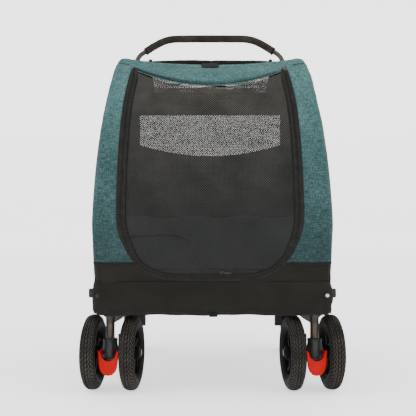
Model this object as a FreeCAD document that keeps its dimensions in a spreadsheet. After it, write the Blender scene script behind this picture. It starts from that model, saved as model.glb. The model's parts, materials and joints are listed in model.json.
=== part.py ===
"""Pet stroller: a tube chassis with twin-wheel swivel casters in front and single
wheels behind, a soft cabin on a folding front bow, and a telescopic fold-down handle.

Row frame: millimetres, +Z up, -Y is the front (the door side), X across.
Origin: centre of the bounding box on the floor. Every Y below is written as a
distance behind the caster swivel axes, minus y_mid.
"""
import FreeCAD, Part
import math
import os
import re
from FreeCAD import Vector, Rotation, Placement

doc = FreeCAD.newDocument("PetStroller")

# ------------------------------------------------------------------ dimensions
sheet = doc.addObject("Spreadsheet::Sheet", "Dims")
SIZES = [
    ("y_mid", 384.5, "swivel axes to the middle of the overall length"),
    ("leg_x", 255, "half track of the front legs and side rails"),
    ("rail_r", 11, "chassis tube radius"),
    ("tube_wall", 1.5, "chassis tube wall"),
    ("rail_z", 218, "height of the chassis ring"),
    ("ring_rear", 715, "rear cross tube behind the swivel axes"),
    ("leg_low", 136, "bottom of the front leg tube"),
    ("toe", 6, "toe-out of the casters as parked, degrees"),
    ("trail", 30, "caster trail"),
    ("front_wheel_r", 95, "front wheel radius"),
    ("wheel_w", 38, "wheel width"),
    ("wheel_off", 49, "wheel centre from the caster's middle"),
    ("rear_wheel_r", 95, "rear wheel radius"),
    ("rear_x", 252, "rear wheel centre"),
    ("rear_y", 640, "rear axle behind the swivel axes"),
    ("rear_leg_x", 219, "rear leg tube"),
    ("axle_r", 4, "axle radius"),
    ("bore_r", 4.06, "wheel and lever bores"),
    ("housing_r", 20, "caster housing radius"),
    ("board_x", 236, "half width of the floor board"),
    ("board_z", 232, "underside of the floor board"),
    ("board_thick", 6, "floor board thickness"),
    ("mat_thick", 18, "mat thickness"),
    ("skirt_x", 298, "half width over the lower bag"),
    ("skirt_low", 194, "bottom hem of the lower bag"),
    ("skirt_high", 325, "top of the lower bag"),
    ("skin", 3, "fabric wall thickness"),
    ("cabin_rear", 692, "rear wall behind the swivel axes"),
    ("hinge_y", 5, "bow hinge behind the swivel axes"),
    ("hinge_z", 247, "bow hinge height"),
    ("hinge_pin_r", 4, "bow hinge pin radius"),
    ("pole_r", 8, "bow pole radius"),
    ("pole_wall", 1.2, "bow pole wall"),
    ("knuckle_y", 735, "handle knuckle behind the swivel axes"),
    ("knuckle_z", 520, "handle knuckle height"),
    ("lean", 10, "handle lean, degrees"),
    ("handle_x", 256, "half distance between the handle side tubes"),
    ("handle_r", 8, "handle tube radius"),
    ("sleeve_r", 11, "handle sleeve radius"),
    ("grip_z", 1041, "middle of the grip above the floor"),
    ("foam_r", 12.3, "foam grip radius"),
    ("door_x", 237, "half width of the door"),
    ("door_low", 281, "bottom of the door"),
    ("door_high", 842, "top of the door"),
    ("travel", 110, "handle telescope travel"),
]
sheet.set("A1", "alias")
sheet.set("B1", "value")
sheet.set("C1", "what it is")
for row, (alias, value, what) in enumerate(SIZES, start=2):
    sheet.set("A%d" % row, alias)
    sheet.set("B%d" % row, repr(value))
    sheet.set("C%d" % row, what)
    sheet.setAlias("B%d" % row, alias)
doc.recompute()
D = {alias: float(sheet.get(alias)) for alias, _, _ in SIZES}
NAMES = sorted(D, key=len, reverse=True)
PATTERN = re.compile(r"\b(%s)\b" % "|".join(NAMES))


def ex(text):
    """An expression on the sheet's cells."""
    return PATTERN.sub(r"Dims.\1", text)


def bind(obj, prop, value):
    if isinstance(value, str):
        obj.setExpression(prop, ex(value))
    else:
        parts = prop.split(".")
        if len(parts) == 1:
            setattr(obj, prop, value)
        else:
            obj.setExpression(prop, repr(float(value)))


kept = []


def sub(obj, label):
    """Marks an object as one of the stroller's pieces."""
    obj.Label = label
    kept.append(obj)
    return obj


ALONG = {
    "z": Rotation(),
    "x": Rotation(Vector(0, 1, 0), 90),
    "y": Rotation(Vector(1, 0, 0), -90),
}


def cyl(name, radius, height, at, along="z"):
    """A cylinder from point at, along +X, +Y or +Z."""
    o = doc.addObject("Part::Cylinder", name)
    o.Placement = Placement(Vector(0, 0, 0), ALONG[along])
    bind(o, "Radius", radius)
    bind(o, "Height", height)
    for k, v in zip("xyz", at or ()):
        bind(o, "Placement.Base." + k, v)
    return o


def box(name, x0, x1, y0, y1, z0, z1):
    o = doc.addObject("Part::Box", name)
    for prop, lo, hi in (("Length", x0, x1), ("Width", y0, y1), ("Height", z0, z1)):
        bind(o, prop, "(%s)-(%s)" % (hi, lo))
    for k, v in zip("xyz", (x0, y0, z0)):
        bind(o, "Placement.Base." + k, "%s" % v)
    return o


def fuse(name, shapes):
    o = doc.addObject("Part::MultiFuse", name)
    o.Shapes = shapes
    o.Refine = True
    return o


def cut(name, base, tool):
    o = doc.addObject("Part::Cut", name)
    o.Base = base
    o.Tool = tool
    return o


def common(name, shapes):
    o = doc.addObject("Part::MultiCommon", name)
    o.Shapes = shapes
    return o


def yy(text):
    """A distance behind the swivel axes, as a row Y expression."""
    return "(%s)-y_mid" % text


# ---------------------------------------------------------------- bent tubes
def bent(points, share=0.45):
    """A wire of straight runs joined by tangent arcs."""
    pts = [Vector(*p) for p in points]
    edges, last = [], pts[0]
    for a, b, c in zip(pts, pts[1:], pts[2:]):
        u, w = (b - a), (c - b)
        lu, lw = u.Length, w.Length
        u.normalize()
        w.normalize()
        turn = u.getAngle(w)
        if turn < 0.005:
            continue
        reach = share * min(lu, lw)
        start, end = b - u * reach, b + w * reach
        half = (w - u)
        half.normalize()
        radius = reach / math.tan(turn / 2)
        centre_far = radius / math.cos(turn / 2)
        mid = b + half * (centre_far - radius)
        if (start - last).Length > 1e-6:
            edges.append(Part.LineSegment(last, start).toShape())
        edges.append(Part.Arc(start, mid, end).toShape())
        last = end
    edges.append(Part.LineSegment(last, pts[-1]).toShape())
    return Part.Wire(edges)


def pipe(name, points, radius, wall=None, share=0.45):
    """A tube swept along bent(points), with its radius bound to the sheet."""
    path = doc.addObject("Part::Feature", name + "_path")
    path.Shape = bent(points, share)
    start, way = Vector(*points[0]), Vector(*points[1]) - Vector(*points[0])
    solids = []
    for tag, r in (("outer", radius), ("inner", wall and "%s-%s" % (radius, wall))):
        if not r:
            continue
        ring = doc.addObject("Part::Circle", name + "_" + tag)
        ring.Placement = Placement(start, Rotation(Vector(0, 0, 1), way))
        bind(ring, "Radius", r)
        sweep = doc.addObject("Part::Sweep", name + "_" + tag + "_sweep")
        sweep.Sections = [ring]
        sweep.Spine = (path, [])
        sweep.Solid = True
        sweep.Frenet = False
        solids.append(sweep)
    if len(solids) == 1:
        return solids[0]
    return cut(name + "_tube", solids[0], solids[1])


def hollow(name, radius, height, at, along, wall="tube_wall"):
    """A straight tube."""
    return cut(
        name,
        cyl(name + "_od", radius, height, at, along),
        cyl(name + "_id", "%s-%s" % (radius, wall), height, at, along),
    )


# ---------------------------------------------------------------- PartDesign
def plane(body, role):
    return [f for f in body.Origin.OriginFeatures if f.Role == role][0]


def sketch(body, name, role, loops):
    """Closed loops of straight lines, or circles (cx, cy, radius expression)."""
    s = body.newObject("Sketcher::SketchObject", name)
    s.AttachmentSupport = [(plane(body, role), "")]
    s.MapMode = "FlatFace"
    import Sketcher
    for loop in loops:
        if isinstance(loop, tuple):
            cx, cy, r = loop
            n = s.addGeometry(Part.Circle(Vector(cx, cy, 0), Vector(0, 0, 1), 1.0), False)
            c = s.addConstraint(Sketcher.Constraint("Radius", n, 1.0))
            if isinstance(r, str):
                s.setExpression("Constraints[%d]" % c, ex(r))
            else:
                s.setDatum(c, FreeCAD.Units.Quantity("%f mm" % r))
            s.addConstraint(Sketcher.Constraint("DistanceX", -1, 1, n, 3, cx))
            s.addConstraint(Sketcher.Constraint("DistanceY", -1, 1, n, 3, cy))
            continue
        first = s.GeometryCount
        m = len(loop)
        for i in range(m):
            a, b = loop[i], loop[(i + 1) % m]
            s.addGeometry(
                Part.LineSegment(Vector(a[0], a[1], 0), Vector(b[0], b[1], 0)), False
            )
        for i in range(m):
            s.addConstraint(
                Sketcher.Constraint("Coincident", first + i, 2, first + (i + 1) % m, 1)
            )
    return s


def new_body(name):
    b = doc.addObject("PartDesign::Body", name)
    return b


def revolve(body, name, profile):
    r = body.newObject("PartDesign::Revolution", name)
    r.Profile = profile
    r.ReferenceAxis = (profile, ["V_Axis"])
    r.Angle = 360
    profile.Visibility = False
    return r


def pad(body, name, profile, length, both=False):
    p = body.newObject("PartDesign::Pad", name)
    p.Profile = profile
    bind(p, "Length", length)
    if both:
        p.Midplane = True
    return p


TOE = math.radians(D["toe"])


def caster_frame(side):
    """Placement of a caster's own frame: X along the axle, Y to its rear, on the
    swivel axis at floor level. side is -1 on the left, +1 on the right."""
    return Placement(
        Vector(side * D["leg_x"], -D["y_mid"], 0),
        Rotation(Vector(0, 0, 1), side * D["toe"]),
    )


def placed(obj, pl, label):
    """Puts a piece made in a local frame into its place, and keeps it."""
    obj.Placement = pl.multiply(obj.Placement)
    return sub(obj, label)


def wheel(label, radius, rim_r, hub_r, half, centre, spin, spokes, hub_half, side):
    """A tyre and a rim about an axle. spin turns local Z onto the axle."""
    pl = Placement(centre, spin)
    r, w = radius, half
    tyre = new_body(label + "_tyre_body")
    prof = [
        (rim_r, -w + 6), (rim_r, w - 6), (rim_r + 5, w - 2.5), (r - 17, w),
        (r - 8, w - 0.8), (r - 2.6, w - 5.5), (r - 0.7, w - 10), (r, w - 16),
        (r, -w + 16), (r - 0.7, -w + 10), (r - 2.6, -w + 5.5), (r - 8, -w + 0.8),
        (r - 17, -w), (rim_r + 5, -w + 2.5),
    ]
    revolve(tyre, label + "_tyre_turn", sketch(tyre, label + "_tyre_profile", "XZ_Plane", [prof]))
    tyre.Placement = pl
    sub(tyre, label + "_tyre")

    rim = new_body(label + "_rim_body")
    ring = [
        (rim_r - 7, -w + 9), (rim_r - 7, w - 9), (rim_r - 3.5, w - 6),
        (rim_r, w - 6), (rim_r, -w + 6), (rim_r - 3.5, -w + 6),
    ]
    revolve(rim, label + "_rim_turn", sketch(rim, label + "_rim_profile", "XZ_Plane", [ring]))
    # One curved spoke from hub to rim, then five of them.
    arm_a, arm_b = [], []
    r0, r1, steps = hub_r - 5.0, rim_r - 3.0, 7
    for i in range(steps):
        f = i / (steps - 1.0)
        rr = r0 + (r1 - r0) * f
        ang = math.radians(34.0 * f * f) * side
        wide = 7.5 - 2.5 * math.sin(math.pi * f)
        da = wide / rr
        arm_a.append((rr * math.cos(ang - da), rr * math.sin(ang - da)))
        arm_b.append((rr * math.cos(ang + da), rr * math.sin(ang + da)))
    pad(rim, label + "_spoke", sketch(rim, label + "_spoke_profile", "XY_Plane", [arm_a + arm_b[::-1]]), 16.0, True)
    spoke = rim.Tip
    pattern = rim.newObject("PartDesign::PolarPattern", label + "_spokes")
    pattern.Originals = [spoke]
    pattern.Axis = ([f for f in rim.Origin.OriginFeatures if f.Role == "Z_Axis"][0], [""])
    pattern.Angle = 360
    pattern.Occurrences = spokes
    rim.Tip = pattern
    hub = [
        (D["bore_r"], -hub_half), (D["bore_r"], hub_half), (hub_r - 3, hub_half),
        (hub_r, hub_half - 3), (hub_r, -hub_half + 3), (hub_r - 3, -hub_half),
    ]
    revolve(rim, label + "_hub_turn", sketch(rim, label + "_hub_profile", "XZ_Plane", [hub]))
    rim.Placement = pl
    sub(rim, label + "_rim")


def local_axis(frame, v):
    return frame.Rotation.multVec(Vector(*v))


# =================================================================== casters
for side, tag in ((-1, "left"), (1, "right")):
    F = caster_frame(side)
    spin = F.Rotation.multiply(ALONG["x"])
    z_axle = D["front_wheel_r"]
    for place, lx in (("outer", side * D["wheel_off"]), ("inner", -side * D["wheel_off"])):
        centre = F.multVec(Vector(lx, D["trail"], z_axle))
        wheel("front_%s_%s" % (tag, place), D["front_wheel_r"], 63.0, 17.0,
              D["wheel_w"] / 2, centre, spin, 5, 20.0, side)

    # Housing: a round socket over the swivel, with a block down and back to the axle.
    socket = new_body("socket_body_" + tag)
    turned = [(0, 80), (9, 81), (15, 84.5), (19, 90), (20, 97), (20, 108), (19, 116), (17.6, 127), (18.4, 129),
              (18.4, 133), (17.4, 134.6), (0, 134.6)]
    revolve(socket, "socket_turn_" + tag, sketch(socket, "socket_profile_" + tag, "XZ_Plane", [turned]))
    block = box("block_" + tag, "-14", "14", "2", "trail+12", "82", "110")
    boss = cyl("boss_" + tag, 14.0, 34.0, ("-17", "trail", "front_wheel_r"), "x")
    drop = box("drop_" + tag, "-9", "9", "trail-4", "trail+10", "58", "84")
    solid = fuse("housing_solid_" + tag, [socket, block, boss, drop])
    hole = cyl("axle_hole_" + tag, "axle_r+0.0", 60.0, ("-30", "trail", "front_wheel_r"), "x")
    pins = cyl("pedal_hole_" + tag, 3.06, 80.0, ("-40", "-6", "101"), "x")
    housing = cut("housing_bored_" + tag, solid, fuse("housing_tools_" + tag, [hole, pins]))
    placed(housing, F, "caster_housing_" + tag)

    # Axle across both wheels, with a flat head at each end.
    shank = cyl("shank_" + tag, "axle_r", 146.0, ("-73", "trail", "front_wheel_r"), "x")
    head_a = cyl("head_a_" + tag, 8.0, 3.0, ("-73.2", "trail", "front_wheel_r"), "x")
    head_b = cyl("head_b_" + tag, 8.0, 3.0, ("70.2", "trail", "front_wheel_r"), "x")
    axle = fuse("axle_solid_" + tag, [shank, head_a, head_b])
    placed(axle, F, "caster_axle_" + tag)

    # Brake pedal: a U round the housing with a tongue hanging in front.
    arms = [
        box("arm_%d_%s" % (k, tag), a, b, "-25", "0", "94", "106")
        for k, (a, b) in enumerate((("-24.6", "-20.6"), ("20.6", "24.6")))
    ]
    b = new_body("shield_body_" + tag)
    outline = [(-25.2, 106), (-24.6, 94), (-23.6, 80), (-22, 66), (-18, 55), (-10, 47), (0, 45),
               (10, 47), (18, 55), (22, 66), (23.6, 80), (24.6, 94), (25.2, 106), (20.6, 106),
               (18.5, 95), (14, 87), (7, 82.5), (0, 81), (-7, 82.5), (-14, 87), (-18.5, 95), (-20.6, 106)]
    pad(b, "shield_pad_" + tag, sketch(b, "shield_outline_" + tag, "XZ_Plane", [outline]), 6.0)
    dish_loop = [(-18, 76), (-17.5, 66), (-14, 57), (-8, 51), (0, 49.5), (8, 51), (14, 57), (17.5, 66), (18, 76),
                 (9, 77.5), (0, 77), (-9, 77.5)]
    dish = sketch(b, "shield_dish_" + tag, "XZ_Plane", [dish_loop])
    dish.AttachmentOffset = Placement(Vector(0, 0, 6), Rotation())
    pocket = b.newObject("PartDesign::Pocket", "shield_pocket_" + tag)
    pocket.Profile = dish
    pocket.Length = 1.8
    b.Placement = Placement(Vector(0, -22, 0), Rotation())
    rod_l = cyl("pivot_%s" % tag, 3.0, 45.2, ("-22.6", "-6", "101"), "x")
    pedal = fuse("pedal_solid_" + tag, arms + [b, rod_l])
    placed(pedal, F, "brake_pedal_" + tag)

    # Swivel lock: a small lever on the inner side of the socket.
    inn = -side
    x0, x1 = sorted((inn * 20.8, inn * 29.0))
    tip = box("lock_arm_" + tag, str(x0), str(x1), "-5", "5", "118", "146")
    foot_x0, foot_x1 = sorted((inn * 20.8, inn * 27.0))
    foot = box("lock_foot_" + tag, str(foot_x0), str(foot_x1), "-5", "5", "109", "120")
    lever = fuse("lock_solid_" + tag, [tip, foot])
    placed(lever, F, "swivel_lock_" + tag)

# ==================================================================== chassis
for side, tag in ((-1, "left"), (1, "right")):
    s = str(side)
    lx = "%s*leg_x" % s
    # Front leg: tube below a corner casting, a web that braces them, and the
    # ear on which the bow hinges.
    tube = cyl("leg_tube_" + tag, "rail_r", "rail_z-leg_low", (lx, yy("0"), "leg_low"))
    casting = box("casting_" + tag, lx + "-14", lx + "+14", yy("-14"), yy("14"), "rail_z-13", "rail_z+13")
    web_body = new_body("web_body_" + tag)
    tri = [(side * (D["leg_x"] - 8), 172), (side * (D["leg_x"] - 27), 183), (side * (D["leg_x"] - 42), 195),
           (side * (D["leg_x"] - 46), 206), (side * (D["leg_x"] + 26), 206), (side * (D["leg_x"] + 24), 196),
           (side * (D["leg_x"] + 10), 186), (side * (D["leg_x"] + 8), 172)]
    pad(web_body, "web_pad_" + tag, sketch(web_body, "web_outline_" + tag, "XZ_Plane", [tri]), 5.0, True)
    web_body.Placement = Placement(Vector(0, -D["y_mid"], 0), Rotation())
    leg = fuse("front_leg_solid_" + tag, [tube, casting, web_body])
    sub(leg, "front_leg_" + tag)

    sub(hollow("side_rail_" + tag, "rail_r", "ring_rear-14-14", (lx, yy("14"), "rail_z"), "y"),
        "side_rail_" + tag)

    # Bow hinge: an ear on the casting, a pin through the pole's eye and a cap
    # outside the bag.
    ax0 = side * (D["leg_x"] + 14)
    e0, e1 = sorted((ax0, ax0 + side * 5))
    ear = box("ear_" + tag, str(e0), str(e1), yy("-9"), yy("17"), "rail_z-9", "hinge_z+10")
    p0 = min(ax0 + side * 2, side * 309)
    pin = cyl("hinge_pin_" + tag, "hinge_pin_r", 309 - (D["leg_x"] + 16), (str(p0), yy("hinge_y"), "hinge_z"), "x")
    c0 = min(side * 301.2, side * 308.6)
    cap = cyl("hinge_cap_" + tag, 11.5, 7.4, (str(c0), yy("hinge_y"), "hinge_z"), "x")
    sub(fuse("bow_hinge_solid_" + tag, [ear, pin, cap]), "bow_hinge_" + tag)

    # Rear leg: a drop tube with a foot that takes the stub axle.
    rx = "%s*rear_leg_x" % s
    drop = cyl("rear_drop_" + tag, "rail_r", "rail_z-12-rear_wheel_r", (rx, yy("rear_y"), "rear_wheel_r"))
    arm0, arm1 = sorted((side * (D["rear_leg_x"] - 11), side * (D["leg_x"] + 11)))
    arm = box("rear_arm_" + tag, str(arm0), str(arm1), yy("rear_y-13"), yy("rear_y+13"), "rail_z-22.5", "rail_z-11.2")
    s0, s1 = sorted((side * (D["rear_leg_x"] - 11.0), side * (D["rear_leg_x"] + 12.5)))
    foot = box("rear_foot_" + tag, str(s0), str(s1), yy("rear_y-13"), yy("rear_y+13"), "rear_wheel_r-13", "rear_wheel_r+16")
    bore = cyl("rear_bore_" + tag, "axle_r", 40.0, (str(min(s0, s1) - 5), yy("rear_y"), "rear_wheel_r"), "x")
    sub(cut("rear_leg_solid_" + tag, fuse("rear_leg_fused_" + tag, [drop, arm, foot]), bore), "rear_leg_" + tag)

    # Rear upright with the knuckle on which the handle folds.
    z_top = D["knuckle_z"]
    yk, yr = D["knuckle_y"], D["ring_rear"]
    X = side * D["handle_x"]
    up = pipe("rear_upright_" + tag, [
        (X, yr + 10 - D["y_mid"], D["rail_z"] + 14), (X, yr + 10 - D["y_mid"], 330),
        (X, yk - D["y_mid"], 400), (X, yk - D["y_mid"], z_top - 25)], "rail_r", "tube_wall", 0.4)
    corner = box("rear_corner_" + tag, str(X - 14), str(X + 14), yy("ring_rear-14"), yy("ring_rear+24"), "rail_z-13", "rail_z+14")
    disc_a = cyl("knuckle_" + tag, 19.0, 10.0, (str(min(X - side * 1.0, X - side * 11.0)), yy("knuckle_y"), "knuckle_z"), "x")
    kpin = cyl("knuckle_pin_" + tag, 5.0, 24.0, (str(min(X - side * 11.0, X + side * 13.0)), yy("knuckle_y"), "knuckle_z"), "x")
    post = box("knuckle_post_" + tag, str(min(X - side * 1.0, X - side * 11.0)), str(max(X - side * 1.0, X - side * 11.0)),
               yy("knuckle_y-10"), yy("knuckle_y+10"), "knuckle_z-32", "knuckle_z")
    collar = cyl("knuckle_collar_" + tag, "rail_r+2", 16.0, (str(X), yy("knuckle_y"), "knuckle_z-44"))
    sub(fuse("rear_upright_solid_" + tag, [up, corner, disc_a, kpin, post, collar]), "rear_upright_" + tag)

sub(hollow("front_cross_tube", "rail_r", "2*(leg_x-14)", ("-(leg_x-14)", yy("0"), "rail_z"), "x"), "front_cross_tube")
sub(hollow("rear_cross_tube", "rail_r", "2*(handle_x-14)", ("-(handle_x-14)", yy("ring_rear"), "rail_z"), "x"), "rear_cross_tube")

# Stub axles for the rear wheels.
stubs = []
for side, tag in ((-1, "left"), (1, "right")):
    a, b2 = side * (D["rear_leg_x"] - 10.5), side * (D["rear_x"] + 23)
    shaft = cyl("stub_" + tag, "axle_r", abs(b2 - a), (str(min(a, b2)), yy("rear_y"), "rear_wheel_r"), "x")
    n = side * (D["rear_x"] + 20.3)
    nut = cyl("stub_nut_" + tag, 8.0, 4.0, (str(min(n, n + side * 4)), yy("rear_y"), "rear_wheel_r"), "x")
    stubs.append(fuse("stub_axle_" + tag, [shaft, nut]))
    wheel("rear_" + tag, D["rear_wheel_r"], 63.0, 18.0, D["wheel_w"] / 2,
          Vector(side * D["rear_x"], D["rear_y"] - D["y_mid"], D["rear_wheel_r"]), ALONG["x"], 5, 19.0, side)
both = doc.addObject("Part::Compound", "rear_axles")
both.Links = stubs
sub(both, "rear_axles")

# ------------------------------------------------------------ floor and mat
sub(box("floor_board", "-board_x", "board_x", yy("20"), yy("cabin_rear-8"), "board_z", "board_z+board_thick"), "floor_board")
# The mat is two padded panels that fold on each other along a seam.
panels = []
for k, (y0, y1) in enumerate((("24", "446"), ("449", "cabin_rear-12"))):
    raw = box("mat_raw_%d" % k, "-board_x+2", "board_x-2", yy(y0), yy(y1), "board_z+board_thick", "board_z+board_thick+mat_thick")
    panel = doc.addObject("Part::Fillet", "mat_panel_%d" % k)
    panel.Base = raw
    doc.recompute()
    edges = []
    for i, e in enumerate(raw.Shape.Edges, start=1):
        bb = e.BoundBox
        if bb.ZLength > 1 or bb.ZMin > D["board_z"] + D["board_thick"] + 1:
            edges.append((i, 12.0 if bb.ZLength > 1 else 6.0, 12.0 if bb.ZLength > 1 else 6.0))
    panel.Edges = edges
    panels.append(panel)
both = doc.addObject("Part::Compound", "floor_mat")
both.Links = panels
sub(both, "floor_mat")

# Cross bars that carry the board on the side rails.
bars = []
for k, yb in enumerate(("150", "350", "550")):
    bars.append(box("board_bar_%d" % k, "-leg_x+rail_r+0.0-11", "leg_x-rail_r+11", yy(yb + "-12"), yy(yb + "+12"), "rail_z+rail_r", "board_z"))
slats = doc.addObject("Part::Compound", "floor_slats")
slats.Links = bars
sub(slats, "floor_slats")

# ----------------------------------------------------------------- lower bag
PROFILE = [(5, 247), (-20, 435), (25, 580), (80, 688), (150, 800), (205, 862)]
sub(box("skirt_front", "-skirt_x", "skirt_x", yy("-24"), yy("-21"), "skirt_low", "276"), "skirt_front")
for side, tag in ((-1, "left"), (1, "right")):
    a, b2 = sorted((side * D["skirt_x"], side * (D["skirt_x"] - D["skin"])))
    wall = box("skirt_wall_" + tag, str(a), str(b2), yy("-21"), yy("cabin_rear"), "skirt_low", "skirt_high")
    hole = cyl("skirt_hole_" + tag, 6.0, 12.0, (str(min(side * 294, side * 306)), yy("hinge_y"), "hinge_z"), "x")
    # The side's front edge slopes back above the hinge, as the bow does.
    notch = box("skirt_notch_" + tag, str(a - 1), str(b2 + 1), yy("-30"), yy("-8"), "277", "skirt_high+1")
    sub(cut("skirt_side_" + tag, cut("skirt_cut_" + tag, wall, hole), notch), "skirt_" + tag)
rear_wall = box("skirt_rear_wall", "-(skirt_x-skin)", "skirt_x-skin", yy("cabin_rear-skin"), yy("cabin_rear"), "skirt_low", "skirt_high")
rail_holes = fuse("skirt_rail_holes", [
    cyl("skirt_rail_hole_%s" % tag, "rail_r+1", 12.0, ("%d*leg_x" % side, yy("cabin_rear-8"), "rail_z"), "y")
    for side, tag in ((-1, "left"), (1, "right"))])
sub(cut("skirt_rear_solid", rear_wall, rail_holes), "skirt_rear")


# ------------------------------------------------------------------ soft cabin
def offset_line(pts, d):
    """The polyline pts moved d to its left, in its own plane."""
    out = []
    n = len(pts)
    for i in range(n):
        a = pts[max(i - 1, 0)]
        b = pts[min(i + 1, n - 1)]
        dx, dy = b[0] - a[0], b[1] - a[1]
        m = math.hypot(dx, dy)
        out.append((pts[i][0] - dy / m * d, pts[i][1] + dx / m * d))
    return out


def smooth(pts, n=6):
    """Catmull-Rom points through pts."""
    out = []
    q = [pts[0]] + list(pts) + [pts[-1]]
    for i in range(1, len(q) - 2):
        p0, p1, p2, p3 = q[i - 1], q[i], q[i + 1], q[i + 2]
        for k in range(n):
            f = k / float(n)
            out.append(tuple(
                0.5 * ((2 * p1[j]) + (-p0[j] + p2[j]) * f + (2 * p0[j] - 5 * p1[j] + 4 * p2[j] - p3[j]) * f * f
                       + (-p0[j] + 3 * p1[j] - 3 * p2[j] + p3[j]) * f ** 3) for j in range(len(p1))))
    out.append(tuple(pts[-1]))
    return out


def prism(name, loop, role, length, along):
    """A straight solid on a closed loop. role XZ: loop is (x, z), pushed along Y
    from along; role YZ: loop is (yw, z), pushed along X from along."""
    b = new_body(name + "_body")
    if role == "YZ":
        pts = [(p[0] - D["y_mid"], p[1]) for p in loop]
        s = sketch(b, name + "_outline", "YZ_Plane", [pts])
        pad(b, name + "_pad", s, length)
        b.Placement = Placement(Vector(along, 0, 0), Rotation())
    else:
        s = sketch(b, name + "_outline", "XZ_Plane", [loop])
        pad(b, name + "_pad", s, length)
        # A pad on the XZ plane runs to -Y, so it starts at the far end.
        b.Placement = Placement(Vector(0, along + length - D["y_mid"], 0), Rotation())
    return b


# Half width of the cabin against height.
WIDTH = [(292.5, 300), (293.5, 380), (294, 435), (288.5, 580), (280.5, 688), (266, 800), (255, 845), (240, 872)]


def half_width(z):
    for (x0, z0), (x1, z1) in zip(WIDTH, WIDTH[1:]):
        if z <= z1:
            return x0 + (x1 - x0) * (z - z0) / (z1 - z0)
    return WIDTH[-1][0]


# Pole line, 11 inside the cabin's skin.
POLE = [(0, 262), (-14, 350), (-20, 435), (-4, 510), (25, 580), (80, 688), (150, 800), (199, 854)]
FRONT = smooth([(-20, 278), (-31.5, 350), (-36, 435), (-18, 513), (10, 588), (66, 698), (138, 812), (192, 868)], 4)
face_out = FRONT
face_in = offset_line(FRONT, -3.0)
band = face_out + face_in[::-1]

# The door: right edge from its top corner down to the middle of its foot, then
# the sagging top seam. It sits 6 mm to the left of the middle.
SHIFT = -6.0
door_side = [
    (205, 838), (211.5, 810), (223, 737), (228, 660), (230, 585), (230.5, 520), (230.5, 450), (227, 408),
    (214, 371), (194, 334), (170, 310), (137, 292), (92, 283), (0, 281),
]
door_top = [(-205, 838), (-150, 813), (-100, 797), (-50, 788), (0, 785), (50, 788), (100, 797), (150, 813), (205, 838)]
DOOR = (
    [(x + SHIFT, z) for x, z in door_side]
    + [(-x + SHIFT, z) for x, z in door_side[-2::-1]]
    + [(x + SHIFT, z) for x, z in door_top[1:-1]]
)
GAP = 1.0

# Side pieces of the front face, left and right of the door.
for side, tag in ((-1, "left"), (1, "right")):
    edge_z = [866, 846, 800, 750, 688, 630, 580, 500, 435, 380, 330, 278]
    outer = [(side * (half_width(z) - 0.5), z) for z in edge_z]
    inner = [(side * (x + GAP) + SHIFT, z - (GAP if z < 300 else 0)) for x, z in door_side[:-1]]
    loop = outer + [(side * 60, 278), (side * 60, 280.5)] + inner[::-1] + [(side * 206 + SHIFT, 866)]
    tool = prism("front_face_cut_" + tag, loop, "XZ", 300.0, -60.0)
    base = prism("front_face_band_" + tag, band, "YZ", 320.0, 0.0 if side > 0 else -320.0)
    sub(common("front_panel_solid_" + tag, [base, tool]), "front_panel_" + tag)

top_loop = [(x * 0.998 + SHIFT, z + GAP) for x, z in door_top] + [(204.6 + SHIFT, 866), (-204.6 + SHIFT, 866)]
sub(common("front_panel_top_solid", [
    prism("top_band", band, "YZ", 400.0, -200.0), prism("top_cut", top_loop, "XZ", 300.0, -60.0)]), "front_panel_top")
sub(common("door_solid", [
    prism("door_band", band, "YZ", 500.0, -250.0), prism("door_cut", DOOR, "XZ", 300.0, -60.0)]), "door_panel")

# Poles of the bow, each with an eye at its foot.
for side, tag in ((-1, "left"), (1, "right")):
    pts = []
    for yw, z in POLE:
        # the foot stands a little wider, beside the ear of the casting
        x = 284.6 if z < 300 else min(half_width(z), 297.0) - 12.0
        pts.append((side * x, yw - D["y_mid"], z))
    pole = pipe("front_pole_" + tag, pts, "pole_r", "pole_wall", 0.45)
    ex0 = min(side * 277.0, side * 293.0)
    eye = cyl("pole_eye_" + tag, 11.0, 16.0, (str(ex0), yy("hinge_y"), "hinge_z"), "x")
    plug = pipe("pole_plug_" + tag, [(side * 285.0, 5 - D["y_mid"], 247.0), pts[0], pts[1]], "pole_r-0.2", None, 0.3)
    hole = cyl("pole_bore_" + tag, "hinge_pin_r+0.06", 30.0, (str(min(side * 270.0, side * 300.0)), yy("hinge_y"), "hinge_z"), "x")
    solid = fuse("pole_fused_" + tag, [pole, eye, plug])
    sub(cut("pole_done_" + tag, solid, hole), "front_pole_" + tag)

# Side and rear walls above the lower bag, and the roof.
SIDE = [(-6, 326.5), (-19, 420), (-13, 480), (28, 578), (84, 688), (154, 800), (206, 864)]
side_loop = smooth(SIDE, 4) + [(300, 868), (450, 860), (600, 846), (660, 832), (686, 800), (689, 600), (689, 326.5)]
for side, tag in ((-1, "left"), (1, "right")):
    zs = [326.5, 380, 435, 510, 580, 640, 688, 750, 800, 846, 872]
    o = [(side * half_width(z), z) for z in zs]
    i = [(side * (half_width(z) - 3.0), z) for z in zs]
    strip = prism("side_strip_" + tag, o + i[::-1], "XZ", 760.0, -50.0)
    shape = prism("side_outline_" + tag, side_loop, "YZ", 400.0, 0.0 if side > 0 else -400.0)
    sub(common("cabin_side_solid_" + tag, [strip, shape]), "cabin_side_" + tag)

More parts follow.
